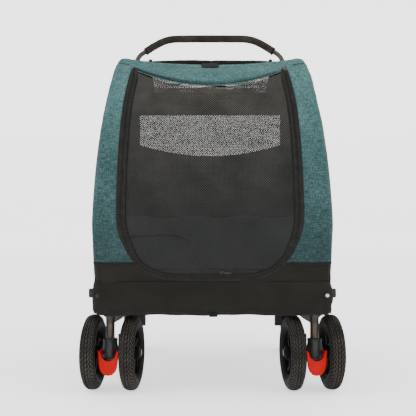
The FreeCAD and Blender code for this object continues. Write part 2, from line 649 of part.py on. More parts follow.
roof_line = smooth([(198, 869.5), (300, 870), (450, 861), (600, 847), (655, 834)], 4)
roof_loop = roof_line + offset_line(roof_line, -3.0)[::-1]
sub(prism("cabin_roof", roof_loop, "YZ", 480.0, -240.0), "cabin_roof")
rear_line = smooth([(661, 829), (682, 806), (686, 760), (687, 600), (688, 326.5)], 4)
rear_loop = rear_line + offset_line(rear_line, -3.0)[::-1]
zs = [326.5, 380, 435, 510, 580, 640, 688, 750, 800, 830]
rear_out = [(half_width(z) - 3.6, z) for z in zs]
rear_out = rear_out + [(-x, z) for x, z in rear_out[::-1]]
sub(common("cabin_rear_solid", [
    prism("rear_band", rear_loop, "YZ", 620.0, -310.0),
    prism("rear_cut", rear_out, "XZ", 100.0, 630.0)]), "cabin_rear")

# ====================================================================== handle
LEAN = math.radians(D["lean"])
KY, KZ = D["knuckle_y"], D["knuckle_z"]


def lean(x, z):
    """A point of the handle at height z, on the leaning plane through the knuckles."""
    return (x, KY + (z - KZ) * math.tan(LEAN) - D["y_mid"], z)


up_dir = Vector(0, math.sin(LEAN), math.cos(LEAN))
for side, tag in ((-1, "left"), (1, "right")):
    X = side * D["handle_x"]
    foot = Vector(*lean(X, KZ + 22))
    rot = Rotation(Vector(0, 0, 1), up_dir)
    sleeve = cut("sleeve_" + tag,
                 cyl("sleeve_od_" + tag, "sleeve_r", 208.0, ("0", "0", "0")),
                 cyl("sleeve_id_" + tag, "handle_r+0.06", 188.0, ("0", "0", "20")))
    cup = cut("sleeve_cup_" + tag,
              cyl("cup_od_" + tag, "sleeve_r+3", 34.0, ("0", "0", "180")),
              cyl("cup_id_" + tag, "sleeve_r-0.5", 34.0, ("0", "0", "180")))
    whole = fuse("sleeve_all_" + tag, [sleeve, cup])
    bore = cyl("sleeve_bore_" + tag, "handle_r+0.06", 240.0, ("0", "0", "20"))
    seat = cyl("button_seat_" + tag, 5.9, 12.0, None)
    seat.Placement = Placement(Vector(-side * 8.0, 0, 197), Rotation(Vector(0, 0, 1), Vector(-side, 0, 0)))
    tube = cut("sleeve_tube_" + tag, whole, fuse("sleeve_holes_" + tag, [bore, seat]))
    tube.Placement = Placement(foot, rot)
    # Knuckle half on the handle: a disc beside the upright's disc.
    k0 = min(X + side * 0.0, X + side * 10.0)
    disc = cyl("handle_disc_" + tag, 19.0, 10.0, (str(k0), yy("knuckle_y"), "knuckle_z"), "x")
    neck = cyl("handle_neck_" + tag, "sleeve_r-1", 24.0, None)
    neck.Placement = Placement(Vector(X + side * 4.0, KY - D["y_mid"], KZ) + up_dir * 8.0, rot)
    gap = cyl("handle_gap_" + tag, 19.4, 14.0, (str(min(X - side * 0.3, X - side * 14.3)), yy("knuckle_y"), "knuckle_z"), "x")
    hole = cyl("handle_hole_" + tag, 5.06, 30.0, (str(min(X - side * 5.0, X + side * 25.0)), yy("knuckle_y"), "knuckle_z"), "x")
    body = fuse("handle_side_fused_" + tag, [disc, neck, tube])
    sub(cut("handle_side_solid_" + tag, body, fuse("handle_tools_" + tag, [gap, hole])), "handle_sleeve_" + tag)

z_low = 682.0
half = [(256, z_low), (256, 900), (254, 952), (240, 983), (205, 1005), (150, 1031), (118, 1041)]
left = [lean(-x, z) for x, z in half]
right = [lean(x, z) for x, z in half[::-1]]
bar = pipe("handle_bar", left + right, "handle_r", "tube_wall", 0.42)
sub(bar, "handle_bar")

# The foam follows the bar between the two shoulders.
outer = bent(left + right, 0.42)
foam_path = doc.addObject("Part::Feature", "foam_path")
keep_edges = []
for e in outer.OrderedEdges:
    mid = e.valueAt((e.FirstParameter + e.LastParameter) / 2)
    if abs(mid.x) < 214 and mid.z > 990:
        keep_edges.append(e)
foam_path.Shape = Part.Wire(keep_edges)
p_start = keep_edges[0].valueAt(keep_edges[0].FirstParameter)
q = keep_edges[0].tangentAt(keep_edges[0].FirstParameter)
foam = []
for tag, r in (("outer", "foam_r"), ("inner", "handle_r")):
    ring = doc.addObject("Part::Circle", "foam_" + tag)
    ring.Placement = Placement(p_start, Rotation(Vector(0, 0, 1), q))
    bind(ring, "Radius", r)
    sweep = doc.addObject("Part::Sweep", "foam_sweep_" + tag)
    sweep.Sections = [ring]
    sweep.Spine = (foam_path, [])
    sweep.Solid = True
    foam.append(sweep)
sub(cut("handle_grip_solid", foam[0], foam[1]), "handle_grip")

# Release buttons on the inner faces of the collars.
for side, tag in ((-1, "left"), (1, "right")):
    X = side * D["handle_x"]
    base = Vector(*lean(X, KZ + 22)) + up_dir * 197.0
    knob = cyl("button_" + tag, 5.5, 7.0, None)
    knob.Placement = Placement(base + Vector(-side * 10.6, 0, 0), Rotation(Vector(0, 0, 1), Vector(-side, 0, 0)))
    sub(knob, "release_button_" + tag)

# Zip pull that hangs at the top right of the door.
pull = new_body("zip_pull_body")
pull_loop = [(-3.2, 0), (3.2, 0), (4.0, -20), (2.2, -27), (-2.2, -27), (-4.0, -20)]
pad(pull, "zip_pull_pad", sketch(pull, "zip_pull_outline", "XZ_Plane", [pull_loop, (0.0, -21.0, 1.6)]), 2.2)
pull.Placement = Placement(Vector(196, 161.5 - D["y_mid"], 843.5), Rotation(Vector(1, 0, 0), -44.0))
sub(pull, "zip_pull")

# Leash: webbing from a ring high on the left wall down to its hook on the mat.
LEASH = [(-288, 672, 361), (-232, 677, 367), (-176, 678, 371), (-124, 678, 372), (-84, 677, 364), (-60, 675, 340),
         (-46, 675.5, 309), (-37, 671, 282), (-26, 648, 264.5), (-14, 608, 262), (-2, 564, 262), (10, 522, 262), (30, 492, 262)]
pts = [(x, yw - D["y_mid"], z) for x, yw, z in LEASH]
sub(pipe("leash", pts, 5.0, None, 0.45), "leash")
way = Vector(20, -28, 0)
way.normalize()
shank = cyl("hook_shank", 4.5, 22.0, None)
shank.Placement = Placement(Vector(30, 492 - D["y_mid"], 262), Rotation(Vector(0, 0, 1), way))
bow_ring = doc.addObject("Part::Torus", "hook_ring")
bow_ring.Radius1, bow_ring.Radius2 = 11.0, 3.0
bow_ring.Placement = Placement(Vector(30, 492 - D["y_mid"], 262) + way * 33.0, Rotation())
sub(fuse("leash_hook_solid", [shank, bow_ring]), "leash_hook")

# Screws that hold the lower bag to the bow hinges.
screws = []
for side, tag in ((-1, "left"), (1, "right")):
    head = cyl("bag_screw_" + tag, 5.5, 3.0, (str(side * 283.0), yy("-27.2"), "243.5"), "y")
    screws.append(head)
group = doc.addObject("Part::Compound", "bag_screws")
group.Links = screws
sub(group, "bag_screws")

# ====================================================================== output
doc.recompute()
bad = [o.Name for o in doc.Objects if any(w in o.State for w in ("Invalid", "Error"))]
if bad:
    raise SystemExit("failed objects: %s" % bad)
for o in kept:
    sh = o.Shape
    if sh.isNull() or not sh.isValid() or not sh.Solids:
        raise SystemExit("bad shape: %s" % o.Label)
os.makedirs("parts", exist_ok=True)
for old in os.listdir("parts"):
    if old.endswith(".step"):
        os.remove(os.path.join("parts", old))
lo, hi = [1e9] * 3, [-1e9] * 3
for o in kept:
    o.Shape.exportStep("parts/%s.step" % o.Label)
    bb = o.Shape.optimalBoundingBox(False) if hasattr(o.Shape, "optimalBoundingBox") else o.Shape.BoundBox
    for k, (a, b) in enumerate(((bb.XMin, bb.XMax), (bb.YMin, bb.YMax), (bb.ZMin, bb.ZMax))):
        lo[k], hi[k] = min(lo[k], a), max(hi[k], b)
    print("%-22s solids %d  volume %.0f mm3" % (o.Label, len(o.Shape.Solids), o.Shape.Volume))
print("pieces", len(kept), "box", [round(v, 2) for v in lo], [round(v, 2) for v in hi])
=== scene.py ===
# Pet stroller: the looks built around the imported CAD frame. Metres throughout.
import bpy, bmesh, json, math
import numpy as np
from mathutils import Vector, Matrix, noise


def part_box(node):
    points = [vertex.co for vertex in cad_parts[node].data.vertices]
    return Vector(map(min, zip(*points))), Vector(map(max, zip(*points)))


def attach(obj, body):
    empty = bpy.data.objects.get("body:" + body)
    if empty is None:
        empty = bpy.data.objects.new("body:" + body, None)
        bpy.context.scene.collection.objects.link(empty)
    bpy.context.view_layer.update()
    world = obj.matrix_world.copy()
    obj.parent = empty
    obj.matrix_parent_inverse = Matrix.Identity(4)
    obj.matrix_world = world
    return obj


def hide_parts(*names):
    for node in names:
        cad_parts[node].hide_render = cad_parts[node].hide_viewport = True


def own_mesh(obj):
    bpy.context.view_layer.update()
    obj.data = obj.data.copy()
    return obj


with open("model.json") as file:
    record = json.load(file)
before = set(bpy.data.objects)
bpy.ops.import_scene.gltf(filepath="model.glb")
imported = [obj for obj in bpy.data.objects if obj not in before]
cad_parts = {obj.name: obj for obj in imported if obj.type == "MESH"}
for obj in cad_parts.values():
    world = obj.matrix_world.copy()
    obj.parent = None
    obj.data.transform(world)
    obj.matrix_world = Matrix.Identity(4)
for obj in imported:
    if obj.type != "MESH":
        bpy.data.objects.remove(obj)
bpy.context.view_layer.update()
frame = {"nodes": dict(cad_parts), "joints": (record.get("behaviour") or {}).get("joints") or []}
NODES = frame["nodes"]
JOINTS = {j["name"]: j for j in frame["joints"]}
YM = 384.5


def Y(yw):
    return (yw - YM) / 1000.0


# ---------------------------------------------------------------- camera
cam_data = bpy.data.cameras.new("camera")
cam_data.lens = 76.15
cam_data.sensor_width = 36
cam_data.shift_x = 0.0135
cam = bpy.data.objects.new("camera", cam_data)
cam.location = (-0.025, -2.5845, 0.46)
cam.rotation_euler = (math.radians(90), 0, 0)
bpy.context.collection.objects.link(cam)
bpy.context.scene.camera = cam

# ---------------------------------------------------------------- lines
def catmull(points, n=16):
    pts = [np.array(p, float) for p in points]
    pts = [2 * pts[0] - pts[1]] + pts + [2 * pts[-1] - pts[-2]]
    out = []
    for i in range(1, len(pts) - 2):
        p0, p1, p2, p3 = pts[i - 1 : i + 3]
        for k in range(n):
            t = k / n
            out.append(0.5 * (2 * p1 + (p2 - p0) * t + (2 * p0 - 5 * p1 + 4 * p2 - p3) * t * t + (3 * p1 - p0 - 3 * p2 + p3) * t ** 3))
    out.append(pts[-2])
    return np.array(out)


# the front line of the bag, seen from the side: (distance behind the front legs, height), mm
FRONT = catmull([(-21.5, 272), (-31.5, 350), (-36, 435), (-18, 513), (10, 588), (66, 698), (138, 812), (190, 865)]) / 1000.0
arc = np.concatenate([[0], np.cumsum(np.linalg.norm(np.diff(FRONT, axis=0), axis=1))])
V_TOP = arc[-1]
WIDTH = np.array([(291.5, 272), (294, 300), (296.5, 380), (297.5, 435), (292.5, 580), (284.5, 688), (270, 800), (261.5, 845), (253, 872)], float)
WIDTH_S = catmull(WIDTH[:, ::-1], 8) / 1000.0  # (height, half width)


def half(z):
    return float(np.interp(z, WIDTH_S[:, 0], WIDTH_S[:, 1]))


def v_of_z(z):
    return float(np.interp(z, FRONT[:, 1], arc))


def profile(v):
    """point (yw, z) and inward normal (y, z) of the front line at arc length v; past the top it rolls over."""
    v0 = min(max(v, 0), V_TOP - 1e-6)
    y = float(np.interp(v0, arc, FRONT[:, 0]))
    z = float(np.interp(v0, arc, FRONT[:, 1]))
    a, b = max(v0 - 0.012, 0), min(v0 + 0.012, V_TOP)
    ty = float(np.interp(b, arc, FRONT[:, 0]) - np.interp(a, arc, FRONT[:, 0]))
    tz = float(np.interp(b, arc, FRONT[:, 1]) - np.interp(a, arc, FRONT[:, 1]))
    l = math.hypot(ty, tz)
    ty, tz = ty / l, tz / l
    ny, nz = tz, -ty
    if v > V_TOP:
        r, ang0 = 0.012, math.atan2(tz, ty)
        ang = min((v - V_TOP) / r, ang0)
        rest = (v - V_TOP) - ang * r
        cy, cz = y + ny * r, z + nz * r
        a1 = ang0 - ang
        y, z = cy - math.sin(a1) * r, cz + math.cos(a1) * r
        y += max(rest, 0) * math.cos(max(a1, 0))
        ny, nz = math.sin(max(a1, 0)), -math.cos(max(a1, 0))
    return y, z, ny, nz


R_EDGE = 0.017
WRAP = 0.012


def sstep(a, b, x):
    t = min(max((x - a) / (b - a), 0), 1)
    return t * t * (3 - 2 * t)


def sag(x, z, y=None):
    """the roof edge hangs between the two side poles."""
    w = sstep(0.800, 0.868, z)
    return 0.0175 * max(0, 1 - (abs(x) / 0.236) ** 2.4) * w


def front_point(u, v, lift=0.0):
    """a point of the front cloth from its flat coordinates; lift is outwards."""
    y, z, ny, nz = profile(v)
    h = half(z)
    side = 1 if u >= 0 else -1
    flat = h - R_EDGE
    s = abs(u)
    if s <= flat:
        x, d, ox, od = s, 0.0, 0.0, -1.0
    else:
        th = (s - flat) / R_EDGE
        if th < math.pi / 2:
            x, d, ox, od = flat + R_EDGE * math.sin(th), R_EDGE * (1 - math.cos(th)), math.sin(th), -math.cos(th)
        else:
            x, d, ox, od = h, R_EDGE + (s - flat - R_EDGE * math.pi / 2), 1.0, 0.0
    # crown between the side poles
    d += -0.004 * math.cos(min(s / h, 1) * math.pi / 2) * sstep(0.30, 0.40, z) * (1 - sstep(0.80, 0.86, z))
    x2 = side * (x + ox * lift)
    dd = d + od * lift
    p = Vector((x2, y + ny * dd - YM / 1000, z + nz * dd))
    p.z -= sag(x2, z)
    return p


def u_edge(z):
    return half(z) - R_EDGE + R_EDGE * math.pi / 2 + WRAP


# the door outline, (x, z) in mm, on the front face
SHIFT = -6.0
door_side = [(205, 838), (211.5, 810), (223, 737), (228, 660), (230, 585), (230.5, 520), (230.5, 450), (227, 408),
             (214, 371), (194, 334), (170, 310), (137, 292), (92, 283), (0, 281)]
door_top = [(-205, 838), (-150, 813), (-100, 797), (-50, 788), (0, 785), (50, 788), (100, 797), (150, 813), (205, 838)]


def to_uv(p):
    return np.array([(p[0]) / 1000.0, v_of_z(p[1] / 1000.0)])


side_line = catmull([to_uv((x + SHIFT, z)) for x, z in door_side] + [to_uv((-x + SHIFT, z)) for x, z in door_side[-2::-1]], 10)
top_line = catmull([to_uv((x + SHIFT, z)) for x, z in door_top], 8)


def resample(line, n):
    d = np.concatenate([[0], np.cumsum(np.linalg.norm(np.diff(line, axis=0), axis=1))])
    t = np.linspace(0, d[-1], n)
    return np.stack([np.interp(t, d, line[:, k]) for k in range(line.shape[1])], 1)


side_line = resample(side_line, 181)   # right top corner, down, along the foot, up to the left top corner
top_line = resample(top_line, 61)      # left top corner to the right one
DOOR = np.concatenate([side_line, top_line[1:-1]])


def offset(line, dist, closed=False):
    """moves an open line to its left by dist (a number or one per point)."""
    if closed:
        t = np.roll(line, -1, 0) - np.roll(line, 1, 0)
    else:
        t = np.gradient(line, axis=0)
    t = t / np.maximum(np.linalg.norm(t, axis=1, keepdims=True), 1e-9)
    n = np.stack([-t[:, 1], t[:, 0]], 1)
    return line + n * (np.asarray(dist).reshape(-1, 1) if np.ndim(dist) else dist)


# ---------------------------------------------------------------- materials
def srgb(h):
    h = h.lstrip("#")
    out = []
    for i in (0, 2, 4):
        c = int(h[i:i + 2], 16) / 255
        out.append(c / 12.92 if c <= 0.04045 else ((c + 0.055) / 1.055) ** 2.4)
    return (*out, 1)


class Mat:
    def __init__(self, name, rough=0.6, metal=0.0, sheen=0.0, spec=0.5, coat=0.0):
        self.m = bpy.data.materials.new(name)
        self.m.use_nodes = True
        self.t = self.m.node_tree
        self.b = self.t.nodes["Principled BSDF"]
        self.b.inputs["Roughness"].default_value = rough
        self.b.inputs["Metallic"].default_value = metal
        self.b.inputs["Sheen Weight"].default_value = sheen
        self.b.inputs["Sheen Roughness"].default_value = 0.4
        self.b.inputs["Specular IOR Level"].default_value = spec
        self.b.inputs["Coat Weight"].default_value = coat
        self.co = None

    def n(self, kind, **kw):
        node = self.t.nodes.new(kind)
        for k, v in kw.items():
            if k in node.inputs.keys():
                node.inputs[k].default_value = v
            else:
                setattr(node, k, v)
        return node

    def link(self, a, b):
        self.t.links.new(a, b)

    def coords(self, uv=False, scale=(1, 1, 1), rot=(0, 0, 0)):
        tc = self.n("ShaderNodeTexCoord")
        mp = self.n("ShaderNodeMapping")
        mp.inputs["Scale"].default_value = scale
        mp.inputs["Rotation"].default_value = rot
        self.link(tc.outputs["UV" if uv else "Object"], mp.inputs["Vector"])
        return mp.outputs["Vector"]

    def noise(self, vec, scale, detail=3, rough=0.55, distort=0.0):
        nd = self.n("ShaderNodeTexNoise")
        nd.inputs["Scale"].default_value = scale
        nd.inputs["Detail"].default_value = detail
        nd.inputs["Roughness"].default_value = rough
        nd.inputs["Distortion"].default_value = distort
        self.link(vec, nd.inputs["Vector"])
        return nd.outputs["Fac"]

    def math(self, op, a, b=None, clamp=False):
        nd = self.n("ShaderNodeMath")
        nd.operation = op
        nd.use_clamp = clamp
        for i, v in enumerate((a, b)):
            if v is None:
                continue
            if isinstance(v, (int, float)):
                nd.inputs[i].default_value = v
            else:
                self.link(v, nd.inputs[i])
        return nd.outputs[0]

    def ramp(self, fac, stops):
        nd = self.n("ShaderNodeValToRGB")
        e = nd.color_ramp.elements
        while len(e) < len(stops):
            e.new(0.5)
        for i, (p, c) in enumerate(stops):
            e[i].position = p
            e[i].color = c
        self.link(fac, nd.inputs["Fac"])
        return nd.outputs["Color"]

    def mix(self, fac, a, b, mode="MIX"):
        nd = self.n("ShaderNodeMix")
        nd.data_type = "RGBA"
        nd.blend_type = mode
        for sock, v in ((nd.inputs[0], fac), (nd.inputs[6], a), (nd.inputs[7], b)):
            if isinstance(v, (int, float)):
                sock.default_value = v
            elif isinstance(v, tuple):
                sock.default_value = v
            else:
                self.link(v, sock)
        return nd.outputs[2]

    def bump(self, height, dist=0.0004, strength=1.0):
        nd = self.n("ShaderNodeBump")
        nd.inputs["Distance"].default_value = dist
        nd.inputs["Strength"].default_value = strength
        self.link(height, nd.inputs["Height"])
        self.link(nd.outputs["Normal"], self.b.inputs["Normal"])

    def color(self, c):
        self.link(c, self.b.inputs["Base Color"])

    def roughness(self, c):
        self.link(c, self.b.inputs["Roughness"])


def weave_height(m, vec, pitch):
    """plain weave: warp and weft pass over each other. vec in metres."""
    sep = m.n("ShaderNodeSeparateXYZ")
    m.link(vec, sep.inputs[0])
    k = 2 * math.pi / pitch
    sx = m.math("SINE", m.math("MULTIPLY", sep.outputs[0], k))
    sy = m.math("SINE", m.math("MULTIPLY", sep.outputs[1], k))
    prod = m.math("MULTIPLY", sx, sy)
    return m.math("ADD", m.math("MULTIPLY", prod, 0.5), 0.5)


def heather(name, lo, mid, hi, painted_lower_shade=None):
    """heathered polyester canvas: short light and dark slubs along warp and weft."""
    m = Mat(name, rough=0.88, sheen=0.06, spec=0.10)
    vec = m.coords(uv=True)
    a = m.noise(m.coords(uv=True, scale=(1, 0.20, 1)), 400, 2, 0.65)
    b = m.noise(m.coords(uv=True, scale=(0.15, 1, 1)), 420, 2, 0.65)
    c = m.noise(vec, 46, 4, 0.6)
    d = m.noise(vec, 7, 2, 0.5)
    f = m.math("ADD", m.math("MULTIPLY", a, 0.44), m.math("MULTIPLY", b, 0.50))
    f = m.math("ADD", f, m.math("MULTIPLY", c, 0.10))
    f = m.math("ADD", f, m.math("MULTIPLY", m.math("SUBTRACT", d, 0.5), 0.22))
    col = m.ramp(f, [(0.36, srgb(lo)), (0.50, srgb(mid)), (0.66, srgb(hi))])
    # painted shade: the teal is multiplied darker towards the bottom of the front and left full at the top, standing in
    # for the upright lower part lying in shade under light from above
    if painted_lower_shade:
        sep = m.n("ShaderNodeSeparateXYZ")
        m.link(vec, sep.inputs[0])
        g = m.n("ShaderNodeMapRange")
        g.inputs["From Min"].default_value = 0.05
        g.inputs["From Max"].default_value = 0.68
        m.link(sep.outputs[1], g.inputs["Value"])
        col = m.mix(g.outputs["Result"], m.mix(1.0, col, srgb(painted_lower_shade[0]), "MULTIPLY"), m.mix(0.0, col, col))
    m.color(col)
    w = weave_height(m, vec, 0.0016)
    m.bump(m.math("ADD", m.math("MULTIPLY", w, 0.5), m.math("MULTIPLY", a, 0.9)), 0.0005, 0.55)
    return m.m


def plain_cloth(name, lo, hi, pitch=0.0011, rough=0.86, sheen=0.03, uv=True, bumpd=0.0003, big=9):
    m = Mat(name, rough=rough, sheen=sheen, spec=0.08)
    vec = m.coords(uv=uv)
    f = m.math("ADD", m.math("MULTIPLY", m.noise(vec, big, 4, 0.6), 0.65), m.math("MULTIPLY", m.noise(vec, 420, 2, 0.6), 0.35))
    m.color(m.ramp(f, [(0.35, srgb(lo)), (0.65, srgb(hi))]))
    m.bump(m.math("ADD", weave_height(m, vec, pitch), m.math("MULTIPLY", m.noise(vec, 60, 3, 0.5), 1.2)), bumpd, 0.6)
    return m.m


def mesh_cloth(name, lo, hi, pitch, open_share, rough=0.7, foot=None):
    """knitted mesh: round holes on a diamond grid. The holes let light through."""
    m = Mat(name, rough=rough, sheen=0.05, spec=0.22)
    vec = m.coords(uv=True)
    sep = m.n("ShaderNodeSeparateXYZ")
    m.link(vec, sep.inputs[0])
    k = 2 * math.pi / pitch
    a = m.math("ADD", sep.outputs[0], m.math("MULTIPLY", sep.outputs[1], 0.93))
    b = m.math("SUBTRACT", sep.outputs[0], m.math("MULTIPLY", sep.outputs[1], 0.93))
    cx = m.math("COSINE", m.math("MULTIPLY", a, k))
    cy = m.math("COSINE", m.math("MULTIPLY", b, k))
    s = m.math("ADD", cx, cy)          # diamond grid of peaks, -2..2
    # share of the area where s > t falls from 1 to 0 as t goes from -2 to 2
    t = 2 - 4 * open_share
    hole = m.math("GREATER_THAN", m.math("ADD", s, m.math("MULTIPLY", m.noise(vec, 180, 2, 0.5), 0.0)), t * 0.86)
    f = m.math("ADD", m.math("MULTIPLY", m.noise(vec, 12, 3, 0.6), 0.6), m.math("MULTIPLY", m.noise(vec, 700, 2, 0.6), 0.4))
    col = m.ramp(f, [(0.35, srgb(lo)), (0.65, srgb(hi))])
    # painted shade: the mesh is multiplied darker towards its foot
    if foot:
        g = m.n("ShaderNodeMapRange")
        g.inputs["From Min"].default_value = 0.16
        g.inputs["From Max"].default_value = 0.52
        m.link(sep.outputs[1], g.inputs["Value"])
        col = m.mix(g.outputs["Result"], m.mix(1.0, col, srgb(foot), "MULTIPLY"), col)
    m.color(col)
    m.bump(m.math("MULTIPLY", s, -0.4), 0.0004, 0.7)
    tr = m.n("ShaderNodeBsdfTransparent")
    mx = m.n("ShaderNodeMixShader")
    out = m.t.nodes["Material Output"]
    m.link(hole, mx.inputs[0])
    m.link(m.b.outputs[0], mx.inputs[1])
    m.link(tr.outputs[0], mx.inputs[2])
    m.link(mx.outputs[0], out.inputs["Surface"])
    return m.m


def tape(name, lo, hi, along=0.0022, across=0.0011, rough=0.7):
    m = Mat(name, rough=rough, sheen=0.04, spec=0.12)
    vec = m.coords(uv=True)
    sep = m.n("ShaderNodeSeparateXYZ")
    m.link(vec, sep.inputs[0])
    ribs = m.math("SINE", m.math("MULTIPLY", sep.outputs[1], 2 * math.pi / along))
    cross = m.math("SINE", m.math("MULTIPLY", sep.outputs[0], 2 * math.pi / across))
    f = m.math("ADD", m.math("MULTIPLY", m.noise(vec, 60, 3, 0.6), 0.7), m.math("MULTIPLY", ribs, 0.1))
    m.color(m.ramp(f, [(0.25, srgb(lo)), (0.65, srgb(hi))]))
    m.bump(m.math("ADD", ribs, m.math("MULTIPLY", cross, 0.5)), 0.0004, 0.6)
    return m.m


def plastic(name, lo, hi, rough=0.45, grain=900, bumpd=0.00012, spec=0.5, coat=0.0):
    m = Mat(name, rough=rough, spec=spec, coat=coat)
    vec = m.coords()
    big = m.noise(vec, 24, 4, 0.6)
    fine = m.noise(vec, grain, 2, 0.6)
    m.color(m.ramp(big, [(0.3, srgb(lo)), (0.7, srgb(hi))]))
    m.roughness(m.math("ADD", m.math("MULTIPLY", big, 0.22), rough - 0.1))
    m.bump(m.math("ADD", fine, m.math("MULTIPLY", big, 0.4)), bumpd, 0.6)
    return m.m


def painted(name, lo, hi, rough=0.38, metal=0.35):
    """powder-coated tube: fine orange peel, with rubbed places."""
    m = Mat(name, rough=rough, metal=metal, spec=0.5)
    vec = m.coords()
    peel = m.noise(vec, 1300, 2, 0.5)
    rub = m.noise(vec, 30, 6, 0.7)
    m.color(m.ramp(rub, [(0.30, srgb(lo)), (0.58, srgb(hi)), (0.80, srgb(lo))]))
    m.roughness(m.math("ADD", m.math("MULTIPLY", rub, 0.25), rough - 0.1))
    m.bump(peel, 0.00008, 0.6)
    return m.m


def rubber(name):
    m = Mat(name, rough=0.85, spec=0.14, sheen=0.0)
    vec = m.coords()
    dust = m.noise(vec, 26, 5, 0.65)
    fine = m.noise(vec, 800, 3, 0.6)
    m.color(m.ramp(dust, [(0.25, srgb("#0c0b0a")), (0.55, srgb("#151311")), (0.85, srgb("#26221d"))]))
    m.roughness(m.math("ADD", m.math("MULTIPLY", dust, 0.25), 0.66))
    m.bump(fine, 0.0002, 0.5)
    return m.m


def metal(name, col, rough=0.3):
    m = Mat(name, rough=rough, metal=1.0)
    vec = m.coords()
    f = m.noise(m.coords(scale=(1, 1, 8)), 300, 3, 0.6)
    m.color(m.mix(0.2, srgb(col), m.ramp(f, [(0.3, srgb("#55524e")), (0.7, srgb("#d8d6d2"))])))
    m.roughness(m.math("ADD", m.math("MULTIPLY", f, 0.2), rough - 0.08))
    m.bump(f, 0.00005, 0.5)
    return m.m


def foam(name):
    m = Mat(name, rough=0.92, spec=0.10, sheen=0.05)
    vec = m.coords()
    cells = m.n("ShaderNodeTexVoronoi")
    cells.inputs["Scale"].default_value = 900
    m.link(vec, cells.inputs["Vector"])
    big = m.noise(vec, 35, 4, 0.6)
    m.color(m.ramp(big, [(0.3, srgb("#1c1815")), (0.7, srgb("#2f2c27"))]))
    m.bump(m.math("ADD", cells.outputs["Distance"], m.math("MULTIPLY", big, 0.8)), 0.0005, 0.7)
    return m.m


M = {
    # the front teal carries painted shade: darker towards its bottom, lighter at the top
    "teal": heather("teal_heather", "#213a3b", "#365655", "#587a7a", painted_lower_shade=("#968e92",)),
    # painted shade: the roof, sides and rear use a darker copy of the same teal cloth
    "teal_roof": heather("teal_heather_roof_shaded", "#1d3637", "#304f50", "#507273"),
    "bag": plain_cloth("bag_black", "#151411", "#1e1d1a"),
    # black lining, with painted shade: its colour is made near-black so the inside of the cabin reads as shaded
    "lining": plain_cloth("lining_black_and_shade", "#050505", "#0b0a0a", big=20, sheen=0.0),
    "slate": plain_cloth("lining_slate", "#27373d", "#384a51", big=6),
    # the door mesh carries painted shade, darker towards its foot
    "mesh": mesh_cloth("mesh_black", "#262622", "#42413c", 0.0060, 0.43, foot="#a4a7ab"),
    "mesh_roof": mesh_cloth("mesh_skylight", "#1b1a18", "#2c2a27", 0.0026, 0.32),
    "mesh_rear": mesh_cloth("mesh_window", "#1b1a18", "#2c2a27", 0.0026, 0.17),
    "tape": tape("zip_tape", "#151514", "#2b2b28"),
    "tape_dark": tape("zip_coil", "#0f0e0d", "#211f1c", along=0.0024),
    "binding": tape("binding_black", "#0d0d0d", "#1a1918", along=0.0018),
    "thread": tape("thread_teal", "#34585a", "#527576", along=0.0009),
    "thread_dark": tape("thread_dark", "#171615", "#34312d", along=0.0009),
    "webbing": tape("webbing_dark", "#0a0a09", "#161513", along=0.0016),
    "mat": plain_cloth("mat_grey", "#1d2427", "#2b3437", pitch=0.0016, uv=False, big=5),
    "board": plastic("board_black", "#1f1f1e", "#2d2c2a", rough=0.6),
    "rubber": rubber("tyre_rubber"),
    # the tread block tops are lighter: partly scuffed wear, partly painted highlight
    "rubber_top": plastic("tyre_block", "#242220", "#47433e", rough=0.8, grain=700, bumpd=0.0003, spec=0.15),
    "gunmetal": metal("steel_dark", "#2f2d2b", 0.42),
    "rim": plastic("rim_black", "#080808", "#100f0f", rough=0.7, spec=0.05),
    "plastic": plastic("moulded_black", "#0d0d0d", "#171716", rough=0.45, spec=0.3),
    "red": plastic("pedal_red", "#9a0100", "#ae0401", rough=0.5, spec=0.10),
    "tube": painted("tube_brown", "#221a13", "#372c21"),
    "leg": painted("leg_tube", "#221a13", "#372c21"),
    "tube_dark": painted("tube_dark", "#1c1815", "#302a25"),
    "steel": metal("steel_bright", "#b9b6b0"),
    "foam": foam("foam_grip"),
}
# the upper casting of the leg, with its brace, is black; the tube below it is brown
def leg_split():
    m = M["leg"]
    t = m.node_tree
    b = t.nodes["Principled BSDF"]
    src = b.inputs["Base Color"].links[0].from_socket
    tc = t.nodes.new("ShaderNodeTexCoord")
    sp_ = t.nodes.new("ShaderNodeSeparateXYZ")
    t.links.new(tc.outputs["Object"], sp_.inputs[0])
    mr = t.nodes.new("ShaderNodeMapRange")
    mr.inputs["From Min"].default_value = 0.1705
    mr.inputs["From Max"].default_value = 0.1730
    t.links.new(sp_.outputs[2], mr.inputs["Value"])
    mx = t.nodes.new("ShaderNodeMix")
    mx.data_type = "RGBA"
    t.links.new(mr.outputs["Result"], mx.inputs[0])
    t.links.new(src, mx.inputs[6])
    mx.inputs[7].default_value = srgb("#141110")
    t.links.new(mx.outputs[2], b.inputs["Base Color"])


leg_split()
OLD_SLOTS = {"tyre": "rubber", "rim": "rim", "steel": "steel", "pedal_red": "red", "black_plastic": "plastic", "frame_tube": "tube",
             "handle_tube": "tube_dark", "board": "board", "mat": "mat", "bag_black": "bag", "mesh": "mesh", "webbing": "webbing",
             "fabric_teal": "teal_roof", "foam": "foam"}


